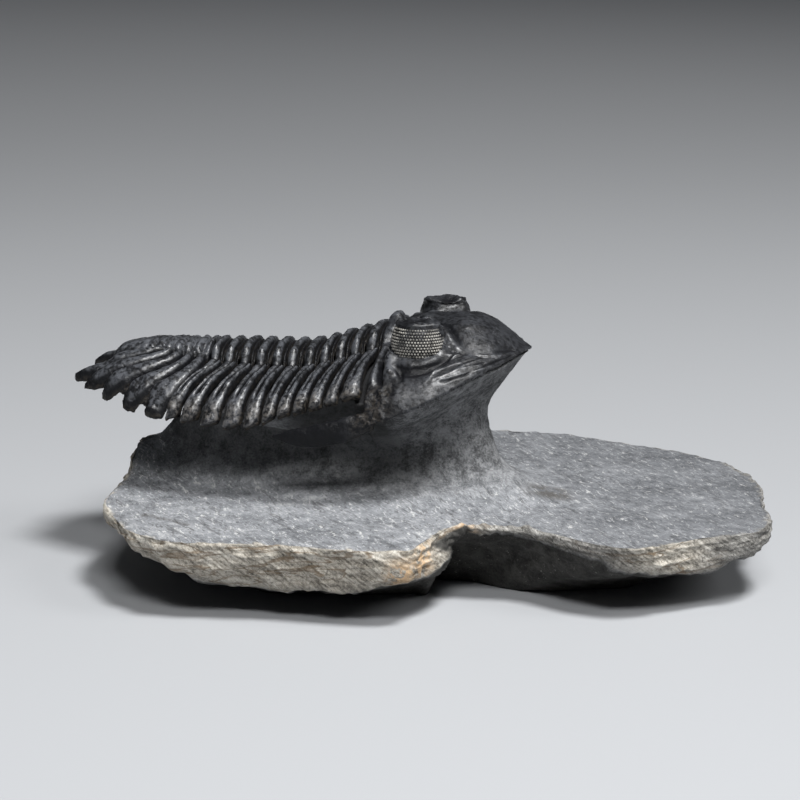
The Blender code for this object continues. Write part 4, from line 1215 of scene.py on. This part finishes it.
CAMERA_TILT = radians(12.0)  # how far the camera looks down
CAMERA_DISTANCE = 0.45
CAMERA_AIM = (0.0, 0.0, 0.0213)
CAMERA_LENS = 146.74  # focal length for a sensor of CAMERA_SENSOR, both in millimetres
CAMERA_SENSOR = 36.0
FLOOR_REACH = 3.0
# Each lamp's place, what it is aimed at, its size, its power and how wide its light spreads, in degrees
LAMPS = {
    "overhead": ((0.35, -0.3, 1.1), (0, -0.1, 0), (0.3, 0.3), 3.3, 80),
    "front": ((0.05, -0.8, 0.9), (0, -0.15, 0), (0.4, 0.25), 1.3, 75),
    "right": ((1.0, -0.3, 0.8), (0, -0.1, 0), (0.5, 0.5), 0.8, 80),
}


def floor():
    """A pale floor, with painted light: it is coloured paler far behind the stone."""
    made, graph, shader, place = finish("pale paper")
    tone = graph.noise(place, 400.0)
    near = graph.blend(tone, (0.385, 0.395, 0.41), (0.405, 0.415, 0.43))
    back = graph.add("ShaderNodeSeparateXYZ", None, {0: place}, output="Y")
    # Painted light: the floor's colour grows paler far behind the stone.
    colour = graph.blend(back.between(300, 1300), near, (0.85, 0.87, 0.9))
    connect(graph, shader, colour, 0.7 + tone * 0.1, tone, 0.01)
    sheet = bpy.data.meshes.new("floor")
    corners = [(x * FLOOR_REACH, y * FLOOR_REACH, 0) for x, y in ((-1, -1), (1, -1), (1, 1), (-1, 1))]
    sheet.from_pydata(corners, [], [(0, 1, 2, 3)])
    in_scene("floor", sheet, [made])


def studio():
    """The floor, the lamps, a little light all round, and the camera."""
    scene = bpy.context.scene
    floor()
    for name, (place, aim, size, power, spread) in LAMPS.items():
        data = bpy.data.lights.new(name, "AREA")
        data.shape = "RECTANGLE"
        data.size, data.size_y = size
        data.energy = power
        data.spread = radians(spread)
        lamp = bpy.data.objects.new(name, data)
        lamp.location = place
        lamp.rotation_euler = (Vector(aim) - Vector(place)).to_track_quat("-Z", "Y").to_euler()
        scene.collection.objects.link(lamp)
    world = bpy.data.worlds.new("room")
    world.use_nodes = True
    world.node_tree.nodes["Background"].inputs[0].default_value = (0.92, 0.95, 1.0, 1)
    world.node_tree.nodes["Background"].inputs[1].default_value = 0.05
    scene.world = world

    data = bpy.data.cameras.new("camera")
    data.lens = CAMERA_LENS
    data.sensor_width = CAMERA_SENSOR
    data.clip_start, data.clip_end = 0.01, 20
    camera = bpy.data.objects.new("camera", data)
    back = Vector((0, -cos(CAMERA_TILT), sin(CAMERA_TILT)))
    camera.location = Vector(CAMERA_AIM) + back * CAMERA_DISTANCE
    camera.rotation_euler = (pi / 2 - CAMERA_TILT, 0, 0)
    scene.collection.objects.link(camera)
    scene.camera = camera
    scene.view_settings.view_transform = "Standard"


def build():
    """Makes the studio and every piece, and says which node's place each takes."""
    studio()
    shell, rock, lens = shell_finish(), stone_finish(), lens_finish()
    dressed = {"matrix": stone(rock), "cephalon": head_shield(shell), "pygidium": tail_shield(shell)}
    for number in range(len(RING_X)):
        dressed[f"thoracic_segment_{number + 1:02d}"] = body_ring(number, shell)
    for node, made in dressed.items():
        made.name = node + "_surface"
        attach(made, "root")
        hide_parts(node)
        "rock" if node == "matrix" else "shell"
    for name, side in (("right_eye_lenses", -1), ("left_eye_lenses", 1)):
        lenses = eye_lenses(name, side, lens)
        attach(lenses, "root")


build()
